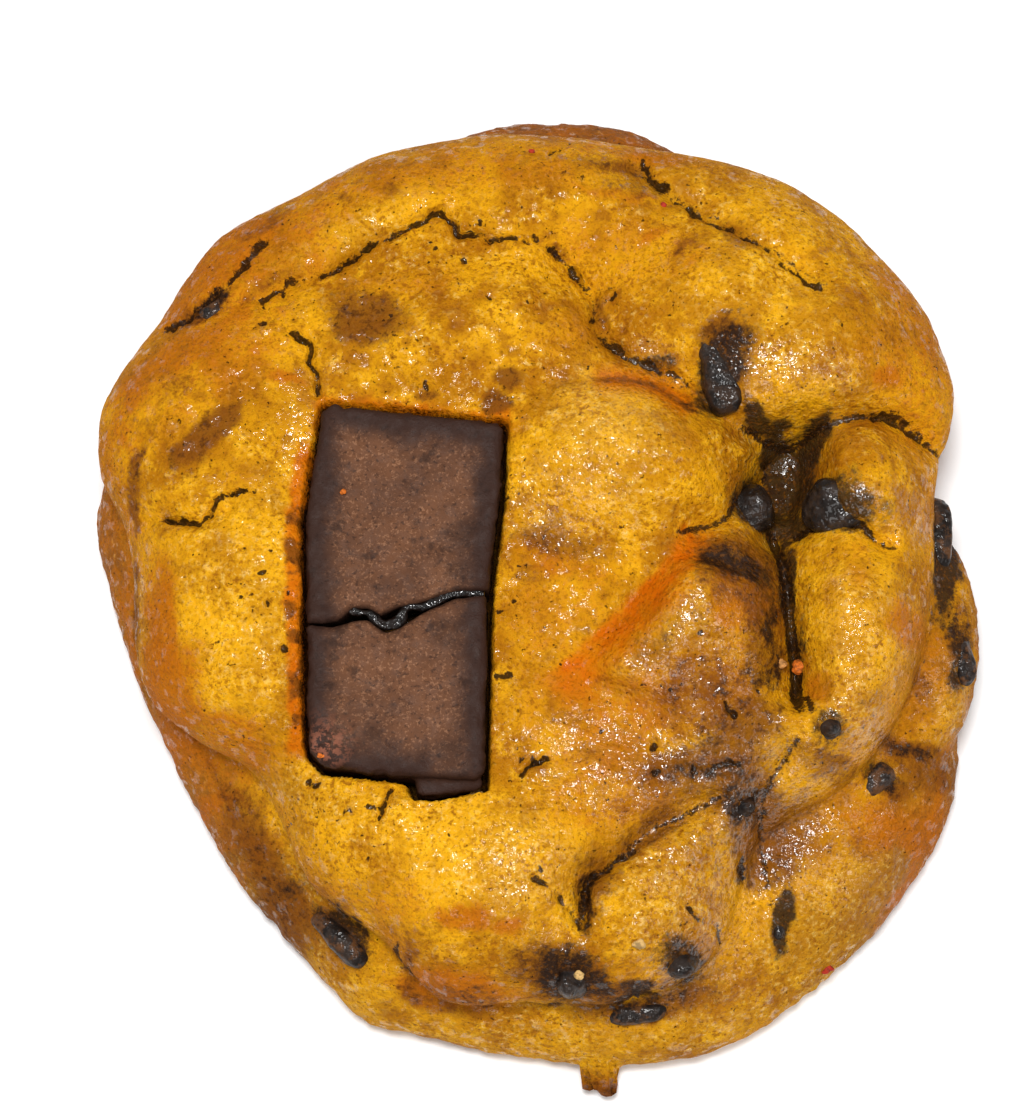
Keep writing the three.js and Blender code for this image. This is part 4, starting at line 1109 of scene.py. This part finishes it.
def doughWithButterBaked():
    look = doughLook
    m, cloud, over, times, plus = startMaterial("dough_with_butter_baked", look)
    bake, skin, place = channelsOf(m, "bake"), channelsOf(m, "skin"), channelsOf(m, "place")

    # butter and flour didn't mix evenly, so the yellow drifts and mottles. The bright places are partly paler
    # dough and partly painted highlight, and the lower layer is browner towards the north
    colour = over(linear(look["deep"]), ranged(m, cloud(look["driftWidth"], 3), 0.36, 0.64), "yellow")
    mottle = cloud(look["mottleWidth"], 5, 0.62)
    stroke = cloud(look["strokeWidth"], 3, 0.6)
    colour = over(colour, times(ranged(m, mottle, 0.5, 0.68), 0.6), "brightAndHighlight")
    colour = over(colour, times(ranged(m, mottle, 0.47, 0.32), 0.6), "grain")
    colour = over(colour, times(skin["Green"], 0.45), "brightAndHighlight")
    colour = over(colour, times(times(skin["Green"], ranged(m, stroke, 0.5, 0.64)), 0.3), "pale")
    colour = over(colour, times(place["Blue"], 0.68), "lower")

    # the crust browned in small strokes, most in the crumbly places
    gate = calculate(m, "ADD", ranged(m, cloud(5.2, 3), 0.36, 0.62), times(place["Green"], 0.7), clamp=True)
    grains = ranged(m, stroke, 0.47, 0.34)
    colour = over(colour, times(times(grains, gate), 0.7), "grain")
    colour = over(colour, times(times(ranged(m, stroke, 0.54, 0.7), gate), 0.42), "pale")

    broad = calculate(m, "SUBTRACT", cloud(2.6, 6, 0.7), 0.5)
    grit = calculate(m, "SUBTRACT", cloud(0.7, 4, 0.7), 0.5)

    def ragged(mask, softness):
        uneven = plus(times(broad, 1.7), times(grit, 1.1))
        shore = ranged(m, plus(mask, uneven), 0.5 - softness, 0.5 + softness)
        return times(ranged(m, mask, 0.02, 0.3), shore)

    colour = over(colour, times(ragged(bake["Red"], 0.42), 0.88), "toast")
    colour = over(colour, times(place["Red"], 0.95), "orange")
    stained = ragged(bake["Green"], 0.42)
    colour = over(colour, times(stained, 0.88), "stain")
    colour = over(colour, times(times(stained, ranged(m, cloud(1.1, 4, 0.7), 0.5, 0.62)), 0.75), "burnt")
    cocoa = ragged(bake["Blue"], 0.3)
    colour = over(colour, times(cocoa, 0.94), "cocoa")
    colour = over(colour, ranged(m, skin["Green"], 0.78, 0.92), "vivid")
    # painted shade in the cracks, pits, gap round the bar and folds, where the folds also hold dark chocolate,
    # with a ragged edge
    shade = plus(skin["Blue"], plus(times(grit, 1.4), times(broad, 0.6)))
    shadeAndChocolateShare = times(ranged(m, shade, 0.28, 0.52), ranged(m, skin["Blue"], 0.02, 0.2))
    colour = over(colour, times(shadeAndChocolateShare, 0.94), "shadeAndChocolate")

    # the crumb shows as fine specks everywhere
    speckle = cloud(look["speckWidth"], 2, 0.6)
    colour = over(colour, times(ranged(m, speckle, 0.47, 0.33), 0.45), "speck")

    # fine pores, ragged and in flocks: dents in the bump with painted shade in them
    flocks = ranged(m, cloud(3.1, 3), 0.4, 0.55)
    pores = times(ranged(m, cloud(look["poreWidth"], 2, 0.5), 0.33, 0.25), flocks)
    colour = over(colour, times(pores, 0.85), "pore")

    # butter makes small wet spots; melted chocolate is smooth
    greasy = times(skin["Red"], ranged(m, cloud(1.1, 3, 0.6), 0.38, 0.48))
    wet = calculate(m, "ADD", greasy, times(ranged(m, cloud(1.4, 3), 0.55, 0.62), 0.5), clamp=True)
    rough = ranged(m, cloud(1.8, 4), 0.3, 0.7, 0.58, 0.72)
    rough = calculate(m, "SUBTRACT", rough, times(cocoa, 0.12), clamp=True)

    # a soft uneven skin, with crumbs where it broke
    height = plus(times(mottle, 1.1), times(cloud(1.0, 3, 0.55), 0.7))
    height = plus(height, times(speckle, 0.25))
    height = plus(height, times(stroke, plus(0.4, times(place["Green"], 0.5))))
    height = calculate(m, "SUBTRACT", height, times(pores, 0.5))
    wetHeight = plus(times(cloud(1.0, 1, 0.5), 0.85), times(cloud(0.42, 1, 0.5), 0.4))
    return finishMaterial(m, {
        "IOR": 1.45, "Specular IOR Level": 0.06, "Subsurface Weight": 0.08, "Subsurface Scale": 1.0 * mm,
        "Subsurface Radius": (1.0, 0.5, 0.2), "Coat Roughness": 0.09, "Coat IOR": 1.6,
    }, {"Base Color": colour, "Roughness": rough, "Normal": bumpFrom(m, 0.9, 0.6, height), "Coat Weight": wet,
        "Coat Normal": bumpFrom(m, 1.0, 0.35, wetHeight)})


# Dark chocolate cast in a mould, then dulled by the oven: dark at the border, dusty brown inside
barLook = {"border": "#34211A", "inner": "#68432C", "dust": "#94694C", "dark": "#281913", "crust": "#8E5640"}


def darkChocolateDulledByHeat():
    look = barLook
    m, cloud, over, times, plus = startMaterial("dark_chocolate_dulled_by_heat", look)
    cast = channelsOf(m, "cast")
    dusty = times(cast["Red"], ranged(m, cloud(5, 5, 0.65), 0.3, 0.66, 0.5, 1.0))
    colour = over(linear(look["border"]), dusty, "inner")
    grains = ranged(m, cloud(0.36, 2, 0.7), 0.54, 0.66)
    colour = over(colour, times(times(grains, dusty), 0.7), "dust")
    colour = over(colour, times(ranged(m, cloud(0.55, 4, 0.7), 0.46, 0.34), 0.65), "dark")
    colour = over(colour, times(ranged(m, cloud(2.6, 4, 0.6), 0.42, 0.32), 0.6), "dark")
    # the pits are painted dark as painted shade, and the blots darker as marks of their own
    colour = over(colour, times(cast["Green"], 0.8), "dark")
    crust = times(cast["Blue"], ranged(m, cloud(0.8, 3, 0.7), 0.46, 0.56))
    colour = over(colour, times(crust, 0.85), "crust")
    rough = ranged(m, cloud(1.6, 5, 0.65), 0.32, 0.68, 0.42, 0.7)
    height = plus(times(cloud(1.1, 5, 0.65), 0.6), times(cloud(0.36, 3, 0.6), 0.4))
    return finishMaterial(m, {"IOR": 1.47, "Specular IOR Level": 0.12}, {
        "Base Color": colour, "Roughness": rough, "Normal": bumpFrom(m, 0.6, 0.35, height)})


# Dark chocolate that melted and set again: nearly black and dull, with a thin skin of fat that glints.
# Smeared is how much dough is rubbed into it, and wet how much of the skin shines
meltedLooks = {
    "chip": {"dark": "#140F0D", "light": "#2E2520", "smear": "#5C3A1E", "smeared": 0.2, "wet": 0.35},
    "chunk": {"dark": "#17110E", "light": "#332822", "smear": "#5C3A1E", "smeared": 0.8, "wet": 0.25},
    "pit": {"dark": "#17110E", "light": "#332822", "smear": "#5C3A1E", "smeared": 0.0, "wet": 0.6},
    "crack": {"dark": "#070505", "light": "#16100E", "smear": "#2A1A12", "smeared": 0.3, "wet": 1.0},
}


def darkChocolateMelted(name, look):
    m, cloud, over, times = startMaterial(name, look)[:4]
    colour = over(linear(look["dark"]), ranged(m, cloud(1.6, 4), 0.38, 0.66), "light")
    smear = times(ranged(m, cloud(1.5, 4, 0.65), 0.48, 0.6), look["smeared"])
    colour = over(colour, smear, "smear")
    rough = ranged(m, cloud(1.2, 3), 0.38, 0.62, 0.35, 0.6)
    return finishMaterial(m, {
        "IOR": 1.5, "Specular IOR Level": 0.1, "Coat Weight": look["wet"], "Coat Roughness": 0.09,
    }, {"Base Color": colour, "Roughness": rough, "Normal": bumpFrom(m, 0.8, 0.4, cloud(1.0, 4, 0.6)),
        "Coat Normal": bumpFrom(m, 1.0, 0.4, cloud(0.8, 1, 0.5))})


# Crumbs broken from the crust: dry, sharp and of one colour each, darker in patches
def crustCrumb(name, hexColour):
    m, cloud = startMaterial(name, {})[:2]
    shade = [c * 0.45 for c in linear(hexColour)[:3]] + [1.0]
    colour = mixColours(m, ranged(m, cloud(0.5, 4), 0.4, 0.6), linear(hexColour), shade)
    return finishMaterial(m, {"Roughness": 0.7, "Specular IOR Level": 0.3}, {"Base Color": colour})


def plainFloor():
    m = newMaterial("pale_paper_floor")
    return finishMaterial(m, {"Base Color": linear("#FCFCFC"), "Roughness": 0.9})


doughMaterial = doughWithButterBaked()
barMaterial = darkChocolateDulledByHeat()
chipMaterial = darkChocolateMelted("dark_chocolate_melted", meltedLooks["chip"])
meltMaterial = darkChocolateMelted("dark_chocolate_still_wet", meltedLooks["pit"])
crackMaterial = darkChocolateMelted("dark_chocolate_set_in_crack", meltedLooks["crack"])
chunkMaterial = darkChocolateMelted("dark_chocolate_smeared_with_dough", meltedLooks["chunk"])


def finishPiece(piece, material, nodes):
    piece.data.materials.clear()
    piece.data.materials.append(material)
    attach(piece, "root")
    for node in nodes:
        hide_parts(node)


finishPiece(dough, doughMaterial, ["dough"])
finishPiece(upperSquare, barMaterial, ["bar_upper_square"])
finishPiece(lowerSquare, barMaterial, ["bar_lower_square"])
for node, piece in chips.items():
    kind = node.split("_")
    look = chunkMaterial if kind[0] == "chunk" else meltMaterial if kind[1] == "pit" else chipMaterial
    finishPiece(piece, look, [node])
finishPiece(crackBead, crackMaterial, [])
crumbMaterials = {look: crustCrumb("crumb_" + look, colour) for look, colour in crumbColours.items()}
for piece, look in crumbs:
    finishPiece(piece, crumbMaterials[look], [])
print("materials given")

deselectAll()
bpy.ops.mesh.primitive_plane_add(size=3, location=(0, 0, -0.0002))
floor = bpy.context.object
floor.name = "floor"
floor.data.materials.append(plainFloor())

lights = {
    # place in metres, size, power
    "windowAbove": ((-0.03, 0.02, 0.70), 0.16, 4.0),
    "fillRight": ((0.45, -0.10, 0.5), 0.3, 0.95),
    "fillFront": ((-0.1, -0.5, 0.5), 0.3, 0.95),
    "fillLeft": ((-0.45, 0.25, 0.5), 0.3, 0.5),
}
for name, (place, size, power) in lights.items():
    lamp = bpy.data.lights.new(name, "AREA")
    lamp.shape = "SQUARE"
    lamp.size = size
    lamp.energy = power
    holder = bpy.data.objects.new(name, lamp)
    holder.location = place
    holder.rotation_euler = (-Vector(place)).to_track_quat("-Z", "Y").to_euler()
    scene.collection.objects.link(holder)

world = bpy.data.worlds.new("studio")
scene.world = world
world.use_nodes = True
background = world.node_tree.nodes["Background"].inputs
background["Color"].default_value = (1, 1, 1, 1)
background["Strength"].default_value = 0.24
scene.view_settings.view_transform = "Standard"

cameraSetup = {"elevation": 78, "lens": 135, "distance": 476.4, "aim": (-2.33, 2.32, 15)}
cameraData = bpy.data.cameras.new("camera")
cameraData.lens = cameraSetup["lens"]
cameraData.sensor_width = 36
cameraData.clip_start, cameraData.clip_end = 0.01, 10
camera = bpy.data.objects.new("camera", cameraData)
elevation = math.radians(cameraSetup["elevation"])
back = np.array([0, -math.cos(elevation), math.sin(elevation)])
camera.location = (np.array(cameraSetup["aim"]) + back * cameraSetup["distance"]) * mm
camera.rotation_euler = (math.radians(90 - cameraSetup["elevation"]), 0, 0)
scene.collection.objects.link(camera)
scene.camera = camera
